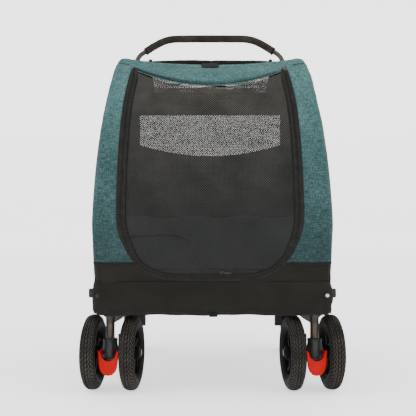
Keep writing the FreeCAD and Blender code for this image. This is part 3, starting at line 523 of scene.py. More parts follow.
# ---------------------------------------------------------------- helpers
def make(name, verts, faces, mats, body, face_mats=None, uvs=None, smooth=True):
    me = bpy.data.meshes.new(name)
    me.from_pydata([tuple(v) for v in verts], [], [tuple(f) for f in faces])
    ob = bpy.data.objects.new(name, me)
    bpy.context.collection.objects.link(ob)
    for m in mats:
        me.materials.append(M[m])
    if face_mats is not None:
        me.polygons.foreach_set("material_index", list(face_mats))
    if uvs is not None:
        layer = me.uv_layers.new(name="UVMap")
        idx = np.empty(len(me.loops), np.int32)
        me.loops.foreach_get("vertex_index", idx)
        layer.data.foreach_set("uv", np.asarray(uvs, float)[idx].ravel())
    if smooth:
        me.polygons.foreach_set("use_smooth", [True] * len(me.polygons))
    me.update()
    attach(ob, body)
    return ob


def apply_mods(ob):
    bpy.context.view_layer.update()
    dg = bpy.context.evaluated_depsgraph_get()
    me = bpy.data.meshes.new_from_object(ob.evaluated_get(dg), preserve_all_data_layers=True, depsgraph=dg)
    ob.modifiers.clear()
    ob.data = me
    return ob


def solidify(ob, t, inner=0, offset_dir=-1, rim=None):
    md = ob.modifiers.new("solid", "SOLIDIFY")
    md.thickness = t
    md.offset = offset_dir
    md.material_offset = inner
    md.use_even_offset = False
    md.material_offset_rim = inner if rim is None else rim
    return apply_mods(ob)


def grid_faces(n, m, closed_n=False, flip=False):
    out = []
    for i in range(n if closed_n else n - 1):
        for j in range(m - 1):
            a, b = i * m + j, ((i + 1) % n) * m + j
            q = (a, b, b + 1, a + 1)
            out.append(q[::-1] if flip else q)
    return out


def sweep_strip(name, line, prof, mats, body, mat_of=None, surface=front_point, inner_dir=1.0, closed=False, lift=0.0):
    """a strip along a flat line (u, v). prof: list of (distance to the left of the line, lift) per point of the section."""
    line = np.asarray(line)
    verts, uvs = [], []
    t = (np.roll(line, -1, 0) - np.roll(line, 1, 0)) if closed else np.gradient(line, axis=0)
    t = t / np.maximum(np.linalg.norm(t, axis=1, keepdims=True), 1e-9)
    nrm = np.stack([-t[:, 1], t[:, 0]], 1)
    d = np.concatenate([[0], np.cumsum(np.linalg.norm(np.diff(line, axis=0), axis=1))])
    for i, p in enumerate(line):
        sec = prof(i / max(len(line) - 1, 1), i) if callable(prof) else prof
        for off, h in sec:
            q = p + nrm[i] * off * inner_dir
            verts.append(surface(q[0], q[1], h + lift))
            uvs.append((off, d[i]))
    m = len(sec)
    faces = grid_faces(len(line), m, closed_n=closed, flip=inner_dir < 0)
    fm = None
    if mat_of:
        fm = [mat_of(j) for i in range(len(line) if closed else len(line) - 1) for j in range(m - 1)]
    return make(name, verts, faces, mats, body, fm, uvs)


def tube_mesh(path, radius, sides=10, flat=None, caps=True):
    """verts and faces of a round (or flat: width, thickness) section along 3-D points."""
    pts = [Vector(p) for p in path]
    verts, faces, uvs = [], [], []
    up = Vector((0, 0, 1))
    dist = 0
    for i, p in enumerate(pts):
        a, b = pts[max(i - 1, 0)], pts[min(i + 1, len(pts) - 1)]
        t = (b - a).normalized()
        if i:
            dist += (p - pts[i - 1]).length
        if i == 0:
            nrm = up - t * up.dot(t)
            if nrm.length < 1e-3:
                nrm = Vector((0, 1, 0)) - t * t.y
            nrm.normalize()
        else:
            nrm = (nrm - t * nrm.dot(t)).normalized()
        bi = t.cross(nrm)
        for k in range(sides):
            an = 2 * math.pi * k / sides
            if flat:
                c, s = math.cos(an), math.sin(an)
                cc = abs(c) ** 0.35 * (1 if c >= 0 else -1) * flat[0] / 2
                ss = abs(s) ** 0.6 * (1 if s >= 0 else -1) * flat[1] / 2
                q = p + bi * cc + nrm * ss
            else:
                q = p + (bi * math.cos(an) + nrm * math.sin(an)) * radius
            verts.append(q)
            uvs.append((k / sides * 2 * math.pi * (radius or 0.005), dist))
    n = len(pts)
    for i in range(n - 1):
        for k in range(sides):
            a, b = i * sides + k, i * sides + (k + 1) % sides
            faces.append((a, b, b + sides, a + sides))
    if caps:
        faces.append(tuple(range(sides))[::-1])
        faces.append(tuple((n - 1) * sides + k for k in range(sides)))
    return verts, faces, uvs


def stitches(name, pts, normals, mat, body, length=0.0030, gap=0.0016, r=0.00038):
    """a row of thread stitches along 3-D points."""
    pts = [Vector(p) for p in pts]
    d = [0]
    for a, b in zip(pts, pts[1:]):
        d.append(d[-1] + (b - a).length)
    verts, faces, uvs = [], [], []
    pos = 0.0
    P = np.array(pts)
    N = np.array(normals)
    while pos + length < d[-1]:
        a = Vector([np.interp(pos, d, P[:, k]) for k in range(3)])
        b = Vector([np.interp(pos + length, d, P[:, k]) for k in range(3)])
        mid = (a + b) / 2
        nn = Vector([np.interp(pos, d, N[:, k]) for k in range(3)]).normalized()
        seg = [a - nn * r * 0.6, a + nn * r * 0.8, mid + nn * r * 1.3, b + nn * r * 0.8, b - nn * r * 0.6]
        v, f, u = tube_mesh(seg, r, 5)
        off = len(verts)
        verts += v
        uvs += u
        faces += [tuple(i + off for i in q) for q in f]
        pos += length + gap
    return make(name, verts, faces, [mat], body, None, uvs)


def surf_normal(u, v):
    a = front_point(u, v, 0.0)
    b = front_point(u, v, 0.001)
    return (b - a).normalized()


# ================================================================ front cloth
V325 = v_of_z(0.325)
V_ROLL = V_TOP + 0.016


def outer_outline():
    pts = []
    vs = np.concatenate([np.linspace(0, V_TOP - 0.03, 60), np.linspace(V_TOP - 0.028, V_ROLL, 14)])
    right = []
    for v in vs:
        z = profile(v)[1]
        e = u_edge(z)
        right.append((e, v))
    top = [(u, V_ROLL) for u in np.linspace(right[-1][0], -right[-1][0], 40)[1:-1]]
    left = [(-e, v) for e, v in right[::-1]]
    bottom = [(u, 0.0) for u in np.linspace(-right[0][0], right[0][0], 40)[1:-1]]
    return np.array(right + top + left + bottom)


OUT = outer_outline()
CEN = np.array([SHIFT / 1000, v_of_z(0.56)])


def ray_hit(poly, ang):
    d = np.array([math.cos(ang), math.sin(ang)])
    best = None
    n = len(poly)
    for i in range(n):
        a, b = poly[i] - CEN, poly[(i + 1) % n] - CEN
        e = b - a
        den = d[0] * e[1] - d[1] * e[0]
        if abs(den) < 1e-12:
            continue
        t = (a[0] * e[1] - a[1] * e[0]) / den
        s = (a[0] * d[1] - a[1] * d[0]) / den
        if t > 0 and -1e-9 <= s <= 1 + 1e-9 and (best is None or t > best):
            best = t
    return CEN + d * best


def star_angles(n_uniform, polys, keep):
    an = list(np.linspace(-math.pi, math.pi, n_uniform, endpoint=False))
    for p in keep:
        an.append(math.atan2(p[1] - CEN[1], p[0] - CEN[0]))
    an = sorted(an)
    out = [an[0]]
    for a in an[1:]:
        if a - out[-1] > 0.004:
            out.append(a)
    return out


corners = [OUT[0], OUT[73], np.array([-OUT[73][0], OUT[73][1]]), np.array([-OUT[0][0], OUT[0][1]]), side_line[0], side_line[-1]]
ANG = star_angles(260, None, corners)
hole = offset(DOOR, -0.006, closed=True)   # the opening's edge, under the zip tape
INNER = np.array([ray_hit(hole, a) for a in ANG])
OUTER = np.array([ray_hit(OUT, a) for a in ANG])
ROWS = 14


def wrinkle(p, amp, scale, seed=0.0):
    return amp * noise.noise(Vector((p[0] * scale + seed, p[1] * scale * 0.55, (p[2] if len(p) > 2 else 0) * scale + seed)))


def build_front():
    bm = bmesh.new()
    vs = []
    for a, b in zip(INNER, OUTER):
        row = []
        for j in range(ROWS):
            t = j / (ROWS - 1)
            t = t ** 1.15
            p = a * (1 - t) + b * t
            row.append(bm.verts.new((p[0], p[1], 0)))
        vs.append(row)
    n = len(vs)
    for i in range(n):
        for j in range(ROWS - 1):
            bm.faces.new((vs[i][j], vs[i][j + 1], vs[(i + 1) % n][j + 1], vs[(i + 1) % n][j]))
    bmesh.ops.bisect_plane(bm, geom=bm.verts[:] + bm.edges[:] + bm.faces[:], plane_co=(0, V325, 0), plane_no=(0, 1, 0))
    bm.verts.ensure_lookup_table()
    uv = bm.loops.layers.uv.new("UVMap")
    for f in bm.faces:
        f.material_index = 0 if f.calc_center_median()[1] > V325 else 1
        for l in f.loops:
            l[uv].uv = (l.vert.co.x, l.vert.co.y)
    for v in bm.verts:
        u, w = v.co.x, v.co.y
        z = profile(w)[1]
        lift = 0.0
        edge = abs(abs(u) - (half(z) - 0.01))
        # slack between the seams, with soft horizontal drag lines
        lift += 0.0011 * noise.noise(Vector((u * 9, w * 26, 1.7))) + 0.0006 * noise.noise(Vector((u * 30, w * 60, 4.1)))
        # gathers along the outer seam
        lift += 0.0009 * math.exp(-(edge / 0.012) ** 2) * math.sin(w * 2 * math.pi / 0.021 + 2.2 * noise.noise(Vector((0, w * 20, 0))))
        # the black foot is pulled in above the hinge
        if w < V325:
            k = 1 - w / V325
            lift += 0.0016 * k * noise.noise(Vector((u * 16, w * 30, 9.0)))
            lift += -0.0035 * math.exp(-((abs(u) - 0.285) / 0.016) ** 2) * k
        v.co = front_point(u, w, lift)
    bmesh.ops.recalc_face_normals(bm, faces=bm.faces[:])
    me = bpy.data.meshes.new("front_cloth")
    bm.to_mesh(me)
    bm.free()
    ob = bpy.data.objects.new("front_cloth", me)
    bpy.context.collection.objects.link(ob)
    for m in ("teal", "bag", "lining", "lining"):
        me.materials.append(M[m])
    me.polygons.foreach_set("use_smooth", [True] * len(me.polygons))
    # outward side must face the camera
    c = me.polygons[0]
    if sum(p.normal.y for p in me.polygons) > 0:
        me.flip_normals()
    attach(ob, "front_bow")
    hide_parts("front_panel_left", "front_panel_right", "front_panel_top")
    solidify(ob, 0.0016, inner=2, offset_dir=-1, rim=0)
    w, l = float(np.ptp(OUT[:, 0])), float(np.ptp(OUT[:, 1]))
    return ob


front_cloth = build_front()

# black foot overlaps the teal with a stitched edge
seam_pts = [(u, V325 - 0.0002) for u in np.linspace(-u_edge(0.325), -0.17, 60)]
for tag, sgn in (("left", -1), ("right", 1)):
    us = np.linspace(u_edge(0.325) - 0.001, 0.180, 46) * sgn
    line = np.array([(u, V325) for u in us])
    sweep_strip("foot_seam_" + tag, line, [(-0.0062, 0.0004), (-0.0060, 0.0012), (-0.003, 0.0015), (0.0003, 0.0012), (0.0005, 0.0003)],
                ["bag"], "front_bow", inner_dir=sgn * -1.0)
    pts = [front_point(u, V325 - 0.0030, 0.0016) for u in us]
    stitches("foot_stitch_" + tag, pts, [surf_normal(u, V325) for u in us], "thread_dark", "front_bow")
    pts = [front_point(u, V325 + 0.0050, 0.0004) for u in us]
    stitches("teal_stitch_" + tag, pts, [surf_normal(u, V325) for u in us], "thread", "front_bow")

# piping along the side seam and across the top corners
for tag, sgn in (("left", -1), ("right", 1)):
    ws = np.linspace(0.0, V_TOP + 0.004, 120)
    pts = [front_point(sgn * (u_edge(profile(w)[1]) - 0.001), w, 0.0008) for w in ws]
    v, f, u = tube_mesh(pts, 0.0019, 8)
    make("side_piping_" + tag, v, f, ["thread"], "front_bow", None, u)
    # corner seams
    wseam = v_of_z(0.8475)
    us = np.linspace(sgn * (half(0.8475) + 0.004), sgn * 0.2165 + (SHIFT / 1000 if sgn < 0 else 0), 30)
    line = np.array([(u, wseam + 0.006 * (abs(u) - 0.21) / 0.05) for u in us])
    sweep_strip("corner_seam_" + tag, line, [(-0.0032, 0.0000), (-0.0030, 0.0009), (-0.0004, 0.0011), (0.0004, -0.0006)],
                ["teal"], "front_bow", inner_dir=-sgn * 1.0)

# ================================================================ mesh door
poly_in = offset(DOOR, -0.011, closed=True)
poly_check = np.array([ray_hit(poly_in, a) for a in ANG])
orig = np.array([ray_hit(DOOR, a) for a in ANG])
# the offset that lies inside the outline
if np.linalg.norm(poly_check - CEN, axis=1).mean() > np.linalg.norm(orig - CEN, axis=1).mean():
    IN = 1.0
else:
    IN = -1.0
def inward(line, dist, closed=True):
    return offset(line, dist * IN * 1.0 if np.ndim(dist) == 0 else np.asarray(dist) * IN, closed)


# tape width along the outline: wide at the sides, narrow at the foot
def tape_width(k):
    v = DOOR[k][1]
    return (0.0135 + 0.0085 * sstep(v_of_z(0.285), v_of_z(0.42), v)) * (1 - 0.42 * sstep(v_of_z(0.795), v_of_z(0.838), v))


TW = np.array([tape_width(k) for k in range(len(side_line))])
SIDE_N = len(side_line)


def build_mesh_door():
    rim = inward(DOOR, 0.012)
    inner = np.array([ray_hit(rim, a) for a in ANG])
    rows = 22
    verts, faces, uvs = [], [], []
    for j in range(rows):
        t = (j / (rows - 1)) ** 0.9
        for p in inner:
            q = p * (1 - t) + CEN * t
            r = min(1.0, j / 6)
            bow = 0.0026 * math.sin(min(1, t * 1.4) * math.pi / 2)
            lift = -0.0012 + bow * noise.noise(Vector((q[0] * 7, q[1] * 6, 2.0))) + 0.0004 * noise.noise(Vector((q[0] * 40, q[1] * 30, 5.0)))
            verts.append(front_point(q[0], q[1], lift))
            uvs.append((q[0], q[1]))
    n = len(inner)
    for j in range(rows - 1):
        for i in range(n):
            a, b = j * n + i, j * n + (i + 1) % n
            if j == rows - 2:
                continue
            faces.append((a, b, b + n, a + n))
    # close the middle
    last = (rows - 2) * n
    verts = verts[: (rows - 1) * n]
    uvs = uvs[: (rows - 1) * n]
    verts.append(front_point(CEN[0], CEN[1], -0.0012 + 0.0026 * noise.noise(Vector((CEN[0] * 7, CEN[1] * 6, 2.0)))))
    uvs.append((CEN[0], CEN[1]))
    c = len(verts) - 1
    for i in range(n):
        faces.append((last + i, last + (i + 1) % n, c))
    ob = make("mesh_door", verts, faces, ["mesh"], "door", None, uvs)
    if sum(p.normal.y for p in ob.data.polygons) > 0:
        ob.data.flip_normals()
    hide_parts("door_panel")
    return ob


mesh_door = build_mesh_door()

# zip: the outer tape and coil stay on the bow, the inner tape and its binding go with the door.
# sections run from the outline inwards
def sec_outer(t, i):
    w = TW[i] * 0.52
    return [(0.0020, -0.0006), (0.0016, 0.0009), (-0.0 * w, 0.0013), (-0.22 * w, 0.0012), (-0.26 * w, 0.0008), (-0.30 * w, 0.0012), (-0.66 * w, 0.0012),
            (-0.70 * w, 0.0006), (-0.74 * w, 0.0010), (-0.94 * w, 0.0011), (-0.99 * w, 0.0004), (-1.0 * w, -0.0012)]


def sec_inner(t, i):
    w = TW[i]
    a, b = 0.54 * w, 1.0 * w
    s = b - a
    return [(-a, -0.0012), (-a - 0.02 * s, 0.0004), (-a - 0.08 * s, 0.0014), (-a - 0.30 * s, 0.0014), (-a - 0.36 * s, 0.0008), (-a - 0.42 * s, 0.0015), (-a - 0.72 * s, 0.0017),
            (-a - 0.80 * s, 0.0013), (-a - 0.84 * s, 0.0007), (-a - 0.9 * s, 0.0008), (-b - 0.0015, 0.0006), (-b - 0.002, -0.0014)]


def flip_to_front(ob):
    if sum(p.normal.y * p.area for p in ob.data.polygons) > 0:
        ob.data.flip_normals()
    return ob


zip_outer = flip_to_front(sweep_strip("zip_outer_tape", side_line, sec_outer, ["tape", "tape_dark"], "front_bow", mat_of=lambda j: 1 if j in (3, 4, 7, 8, 9, 10) else 0, inner_dir=-IN))
zip_inner = flip_to_front(sweep_strip("zip_inner_tape", side_line, sec_inner, ["tape", "tape_dark", "binding"], "door", mat_of=lambda j: 1 if j in (0, 1, 3, 4) else (2 if j >= 7 else 0), inner_dir=-IN))

# coil teeth between the two tapes
def coil():
    verts, faces, uvs = [], [], []
    d = np.concatenate([[0], np.cumsum(np.linalg.norm(np.diff(side_line, axis=0), axis=1))])
    off = offset(side_line, IN * TW * 0.53)
    total, pitch, pos, k = d[-1], 0.0036, 0.004, 0
    while pos < total - 0.004:
        c = np.array([np.interp(pos, d, off[:, 0]), np.interp(pos, d, off[:, 1])])
        c2 = np.array([np.interp(pos + 0.001, d, off[:, 0]), np.interp(pos + 0.001, d, off[:, 1])])
        t = (c2 - c) / max(np.linalg.norm(c2 - c), 1e-9)
        nn = np.array([-t[1], t[0]])
        s = 1 if k % 2 else -1
        w, l, h = 0.0021, 0.0011, 0.0017
        base = len(verts)
        for (a, b, z) in ((-1, -1, -0.0004), (1, -1, -0.0004), (1, 1, -0.0004), (-1, 1, -0.0004), (-0.8, -0.6, 1), (0.8, -0.6, 1), (0.8, 0.6, 1), (-0.8, 0.6, 1)):
            q = c + nn * (a * w + s * 0.0005) + t * b * l
            verts.append(front_point(q[0], q[1], h if z == 1 else z))
            uvs.append((q[0], q[1]))
        for f in ((4, 5, 6, 7), (0, 1, 5, 4), (1, 2, 6, 5), (2, 3, 7, 6), (3, 0, 4, 7), (3, 2, 1, 0)):
            faces.append(tuple(base + x for x in f))
        pos += pitch
        k += 1
    ob = make("zip_coil", verts, faces, ["tape_dark"], "front_bow", None, uvs, smooth=False)
    return ob


coil()
for tag, dist, body in (("a", 0.0022, "front_bow"), ("b", -0.0022, "door")):
    k = TW * (0.16 if body == "front_bow" else 0.92)
    line = offset(side_line, IN * k)
    pts = [front_point(p[0], p[1], 0.0014) for p in line[3:-3]]
    stitches("zip_stitch_" + tag, pts, [surf_normal(p[0], p[1]) for p in line[3:-3]], "thread_dark", body, 0.0034, 0.0018, 0.0004)

# the sewn edge along the top of the door
def band(name, line, w0, w1, h, mats, body, dirn):
    return flip_to_front(sweep_strip(name, line, [(w0, -0.0008), (w0 + 0.0002, h), ((w0 + w1) / 2, h + 0.0004), (w1 - 0.0002, h), (w1, -0.0008)], mats, body, inner_dir=dirn))


band("door_top_binding", top_line, 0.0, 0.0034, 0.0006, ["binding"], "door", IN)
band("top_panel_hem", top_line, -0.009, 0.001, 0.0002, ["teal"], "front_bow", IN)
hem = offset(top_line, -IN * 0.0065)
stitches("top_hem_stitch", [front_point(p[0], p[1], 0.0008) for p in hem[2:-2]], [surf_normal(p[0], p[1]) for p in hem[2:-2]], "thread", "front_bow")

# three points on the front's middle line; the door's pieces get mesh data of their own
_a, _b = front_point(0.0, v_of_z(0.785)), front_point(0.0, v_of_z(0.285))
_t = front_point(0.0, v_of_z(0.838))
for _n in ("mesh_door", "zip_inner_tape", "zip_stitch_b", "door_top_binding"):
    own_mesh(bpy.data.objects[_n])

# ================================================================ canopy
def roof_z(yw):
    return float(np.interp(yw, [190, 198, 300, 450, 600, 655, 661], [869.4, 869.5, 870, 861, 847, 834, 829])) / 1000


def rear_y(z):
    return float(np.interp(z * 1000, [326, 600, 760, 806, 829], [688, 687, 686, 682, 661]))


def front_edge_y(z):
    """yw of the side's front edge: just behind the turned front cloth."""
    v = v_of_z(z)
    y, zz, ny, nz = profile(v)
    # the line offset inwards by the edge depth
    return float(np.interp(z, EDGE[:, 1], EDGE[:, 0])) * 1000


_e = []
for v in np.linspace(0, V_TOP, 200):
    y, z, ny, nz = profile(v)
    d = R_EDGE + WRAP - 0.003
    _e.append((y + ny * d, z + nz * d))
EDGE = np.array(_e)
EDGE = EDGE[np.argsort(EDGE[:, 1])]
RC = 0.022   # roof corner


def side_roof(tpar, yw):
    """section of the canopy at one depth: tpar from -1 (left hem) to 1 (right hem), 0 at the middle of the roof."""
    zr = roof_z(yw)
    h_top = half(zr)
    s = abs(tpar)
    side = 1 if tpar >= 0 else -1
    # shares: roof 0..0.38, corner 0.38..0.44, side 0.44..1
    if s < 0.38:
        x = s / 0.38 * (h_top - RC)
        dip = float(np.interp(yw, [200, 250, 300, 450, 655], [0.0180, 0.0135, 0.0085, 0.0065, 0.003])) * max(0.0, 1 - (x / 0.236) ** 2.4)
        return side * x, zr - max(dip, 0)
    if s < 0.44:
        a = (s - 0.38) / 0.06 * math.pi / 2
        return side * (h_top - RC + RC * math.sin(a)), zr - RC + RC * math.cos(a)
    k = (s - 0.44) / 0.56
    z = (zr - RC) * (1 - k) + 0.3245 * k
    return side * half(z) * 1.0 + side * (h_top - half(zr - RC)) * (1 - k) ** 6, z


def build_canopy():
    ts = np.concatenate([np.linspace(-1, -0.44, 34), np.linspace(-0.44, -0.38, 7)[1:], np.linspace(-0.38, 0.38, 45)[1:], np.linspace(0.38, 0.44, 7)[1:], np.linspace(0.44, 1, 34)[1:]])
    # columns that follow the sides of the skylight
    sky = 0.38 * 0.176 / (half(0.86) - RC)
    k = np.argmin(abs(ts - sky)); ts[k] = sky
    k2 = np.argmin(abs(ts + sky)); ts[k2] = -sky
    ys = np.concatenate([np.linspace(0, 1, 40)])
    verts, uvs, faces, fm = [], [], [], []
    A0, A1 = 306.0, 648.0
    for t in ts:
        s = abs(t)
        # front end of this line
        yw = 215.0
        for _ in range(12):
            x, z = side_roof(t, yw)
            yw = front_edge_y(z) if s > 0.40 else 204.0
        f_y = min(yw, 206.0)
        x, z = side_roof(t, 650)
        r_y = rear_y(z) - 0.5
        if s <= 0.44:
            r_y = 663.0
        for q in ys:
            # even spacing with lines at both ends of the skylight
            stops_f, stops_y = [0, 10 / 39, 33 / 39, 1], [f_y, A0, A1, r_y]
            if s > 0.44:
                m = min(1, (s - 0.44) / 0.12)
                lin = f_y + (r_y - f_y) * q
                yy_ = float(np.interp(q, stops_f, stops_y)) * (1 - m) + lin * m
            else:
                yy_ = float(np.interp(q, stops_f, stops_y))
            x, z = side_roof(t, yy_)
            p = Vector((x, yy_ / 1000 - YM / 1000, z))
            out = Vector((math.copysign(1, x), 0, 0)) if s > 0.41 else Vector((0, 0, 1))
            amp = math.sin(min(max(q, 0), 1) * math.pi) ** 0.5 * (math.sin(min(max((s - 0.44) / 0.56, 0), 1) * math.pi) ** 0.5 if s > 0.44 else 1.0)
            w = 0.0036 * noise.noise(Vector((p.x * 5, p.y * 6, p.z * 7))) + 0.0013 * noise.noise(Vector((p.x * 18, p.y * 22, p.z * 26 + 3)))
            # a shallow hollow in the side between the two bows
            if s > 0.44:
                w += -0.0045
            p += out * w * amp
            verts.append(p)
            arc_t = t * 1.62
            uvs.append((yy_ / 1000, arc_t))
    m = len(ys)
    n = len(ts)
    for i in range(n - 1):
        for j in range(m - 1):
            faces.append((i * m + j, (i + 1) * m + j, (i + 1) * m + j + 1, i * m + j + 1))
            mid = (ts[i] + ts[i + 1]) / 2
            fm.append(1 if abs(mid) < sky and 10 <= j < 33 else 0)
    ob = make("canopy_cloth", verts, faces, ["teal_roof", "mesh_roof", "lining", "mesh_roof"], "base", fm, uvs)
    up = sum(p.normal.z * p.area for p in ob.data.polygons if abs(p.center.x) < 0.1)
    if up < 0:
        ob.data.flip_normals()
    solidify(ob, 0.0015, inner=2, rim=0)
    return ob, ts, sky


canopy, TS, SKY = build_canopy()
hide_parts("cabin_side_left", "cabin_side_right", "cabin_roof")


def roof_strip(name, a, b, width, h, mat, slot, n=60, bump_up=True):
    """points and normals along a line on the roof from a to b, both (tpar, yw)."""
    pts, nr = [], []
    for k in range(n):
        q = k / (n - 1)
        t, yw = a[0] * (1 - q) + b[0] * q, a[1] * (1 - q) + b[1] * q
        x, z = side_roof(t, yw)
        x1, z1 = side_roof(t + 0.001, yw)
        tx = Vector((x1 - x, 0, z1 - z)).normalized()
        nn = Vector((-tx.z, 0, tx.x))
        if nn.z < 0 and abs(t) < 0.4:
            nn = -nn
        if abs(t) >= 0.4:
            nn = Vector((math.copysign(1, x), 0, 0.1)).normalized()
        pts.append(Vector((x, yw / 1000 - YM / 1000, z)))
        nr.append(nn)
    return pts, nr


def ribbon(name, pts, nrm, width, h, mat, body="base"):
    verts, faces, uvs = [], [], []
    d = 0
    sec = [(-0.5, -0.3), (-0.5, 0.7), (-0.42, 1.0), (0.0, 1.1), (0.42, 1.0), (0.5, 0.7), (0.5, -0.3)]
    for i, p in enumerate(pts):
        a, b = pts[max(i - 1, 0)], pts[min(i + 1, len(pts) - 1)]
        if i:
            d += (p - pts[i - 1]).length
        t = (b - a).normalized()
        side = t.cross(nrm[i]).normalized()
        for s, k in sec:
            verts.append(p + side * s * width + nrm[i] * k * h)
            uvs.append((s * width, d))
    m = len(sec)
    faces = grid_faces(len(pts), m)
    faces += [tuple(range(m)), tuple((len(pts) - 1) * m + k for k in range(m))[::-1]]
    ob = make(name, verts, faces, [mat], body, None, uvs)
    bm = bmesh.new()
    bm.from_mesh(ob.data)
    bmesh.ops.recalc_face_normals(bm, faces=bm.faces[:])
    bm.to_mesh(ob.data)
    bm.free()
    return ob


squashed = [canopy]
for nm, a, b, w in (("skylight_left_binding", (-SKY * 1.03, 306), (-SKY * 1.03, 655), 0.013), ("skylight_right_binding", (SKY * 1.03, 306), (SKY * 1.03, 655), 0.013), ("skylight_rear_binding", (-SKY * 1.05, 654), (SKY * 1.05, 654), 0.013)):
    p, nr = roof_strip(nm, a, b, w, 0.001, "binding", "webbing")
    squashed.append(ribbon(nm, p, nr, w, 0.0013, "binding"))
# the skylight's rain cover is rolled up along its front edge and tied
def cover_roll():
    verts, faces, uvs = [], [], []
    n, k = 90, 28
    for i in range(n):
        q = i / (n - 1) * 2 - 1
        x = q * 0.186 - 0.002
        r = 0.0088 - 0.0040 * abs(q) ** 3 + 0.0007 * noise.noise(Vector((x * 16, 0.3, 0)))
        for tie in (-0.172, 0.0, 0.168):
            r -= 0.0016 * math.exp(-((x - tie) / 0.006) ** 2)
        cy = Y(298) + 0.0015 * noise.noise(Vector((x * 7, 4.0, 0)))
        cz = 0.8722 + 0.0012 * noise.noise(Vector((x * 9, 8.0, 0))) - 0.0012 * (1 - q * q)
        for j in range(k):
            a = 2 * math.pi * j / k
            # the loose edge of the roll shows as a step along it
            e = (a / (2 * math.pi) + 0.14) % 1.0
            rr = r * (0.90 + 0.13 * e) + 0.0005 * noise.noise(Vector((x * 30, a * 1.2, 1.0)))
            verts.append((x, cy + rr * math.cos(a), cz + rr * math.sin(a)))
            uvs.append((a * 0.009, x))
    faces = []
    for i in range(n - 1):
        for j in range(k):
            faces.append((i * k + j, i * k + (j + 1) % k, (i + 1) * k + (j + 1) % k, (i + 1) * k + j))
    faces.append(tuple(range(k))[::-1])
    faces.append(tuple((n - 1) * k + j for j in range(k)))
    ob = make("rain_cover_roll", verts, faces, ["binding"], "base", None, uvs)
    squashed.append(ob)
    for t, x in enumerate((-0.172, 0.168)):
        pts = []
        for j in range(33):
            a = 2 * math.pi * j / 32
            pts.append(Vector((x, Y(298) + 0.0082 * math.cos(a), 0.8722 + 0.0086 * math.sin(a))))
        nr = [Vector((0, math.cos(2 * math.pi * j / 32), math.sin(2 * math.pi * j / 32))) for j in range(33)]
        squashed.append(ribbon("cover_tie_%d" % t, pts, nr, 0.009, 0.0013, "webbing"))
        v, f, u = tube_mesh([Vector((x - 0.004, Y(293), 0.8772)), Vector((x, Y(292), 0.8786)), Vector((x + 0.004, Y(293), 0.8772))], 0.0019, 8)
        squashed.append(make("cover_knot_%d" % t, v, f, ["webbing"], "base", None, u))


cover_roll()
# a loop of webbing over the middle of the top edge holds the roll
pts = [front_point(-0.004, V_TOP - 0.016 + 0.0032 * k, 0.0012) for k in range(9)]
nr = [surf_normal(-0.004, min(V_TOP - 0.016 + 0.0032 * k, V_ROLL - 0.001)) for k in range(9)]
ribbon("cover_loop", pts, nr, 0.046, 0.0016, "binding", body="front_bow")
# seams where the roof meets the sides
for tag, sg in (("left", -1), ("right", 1)):
    p, nr = roof_strip("roof_seam_" + tag, (sg * 0.41, 212), (sg * 0.41, 656), 0.004, 0.001, "thread", "fabric_teal")
    v, f, u = tube_mesh([q + n_ * 0.0006 for q, n_ in zip(p, nr)], 0.0018, 8)
    squashed.append(make("roof_piping_" + tag, v, f, ["thread"], "base", None, u))


WIN = 0.2305


def build_rear():
    rows_b, rows_w, rows_t = 22, 12, 8
    xs = np.concatenate([np.linspace(-1, -0.80, 8), np.linspace(-0.80, 0.80, 45)[1:], np.linspace(0.80, 1, 8)[1:]])
    verts, uvs, faces, fm = [], [], [], []

    def zrow(j, xr):
        xm = xr / 0.8 * WIN
        low = 0.630 + min(abs(xm) / WIN, 1.2) ** 2 * 0.036
        if j <= rows_b:
            return 0.3255 + (low - 0.3255) * j / rows_b
        if j <= rows_b + rows_w:
            return low + (0.764 - low) * (j - rows_b) / rows_w
        return 0.764 + (0.829 - 0.764) * (j - rows_b - rows_w) / rows_t
    R = rows_b + rows_w + rows_t + 1
    for xr in xs:
        for j in range(R):
            z = zrow(j, xr)
            h = half(z) - 0.0005
            # the window sides stay straight
            wx = min(WIN, h - 0.016)
            if abs(xr) <= 0.8:
                x = xr / 0.8 * wx
            else:
                k = (abs(xr) - 0.8) / 0.2
                x = math.copysign(wx + (h - wx) * k, xr)
            y = rear_y(z) / 1000 - YM / 1000
            # round the corner towards the sides
            k = max(0, (abs(x) - (h - 0.02)) / 0.02)
            y -= 0.010 * k ** 2
            amp = max(0, 1 - (abs(x) / h) ** 4) * math.sin(min(max((z - 0.3255) / 0.5, 0), 1) * math.pi) ** 0.4
            y += 0.003 * noise.noise(Vector((x * 8, z * 9, 3.3))) * amp + 0.0025 * amp
            verts.append(Vector((x, y, z)))
            uvs.append((x, z))
    for i in range(len(xs) - 1):
        for j in range(R - 1):
            faces.append((i * R + j, i * R + j + 1, (i + 1) * R + j + 1, (i + 1) * R + j))
            mid = (xs[i] + xs[i + 1]) / 2
            if abs(mid) < 0.8 and rows_b <= j < rows_b + rows_w:
                fm.append(1)
            else:
                fm.append(0)
    ob = make("canopy_rear", verts, faces, ["teal_roof", "mesh_rear", "lining", "mesh_rear"], "base", fm, uvs)
    if sum(p.normal.y * p.area for p in ob.data.polygons) < 0:
        ob.data.flip_normals()
    solidify(ob, 0.0015, inner=2)
    return ob


rear = build_rear()
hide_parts("cabin_rear")
squashed.append(rear)
# window binding
def rear_pts(f, n=60):
    out = []
    for k in range(n):
        x, z = f(k / (n - 1))
        out.append(Vector((x, rear_y(z) / 1000 - YM / 1000 + 0.0018, z)))
    return out


def low(x):
    return 0.630 + (abs(x) / WIN) ** 2 * 0.036 - 0.006


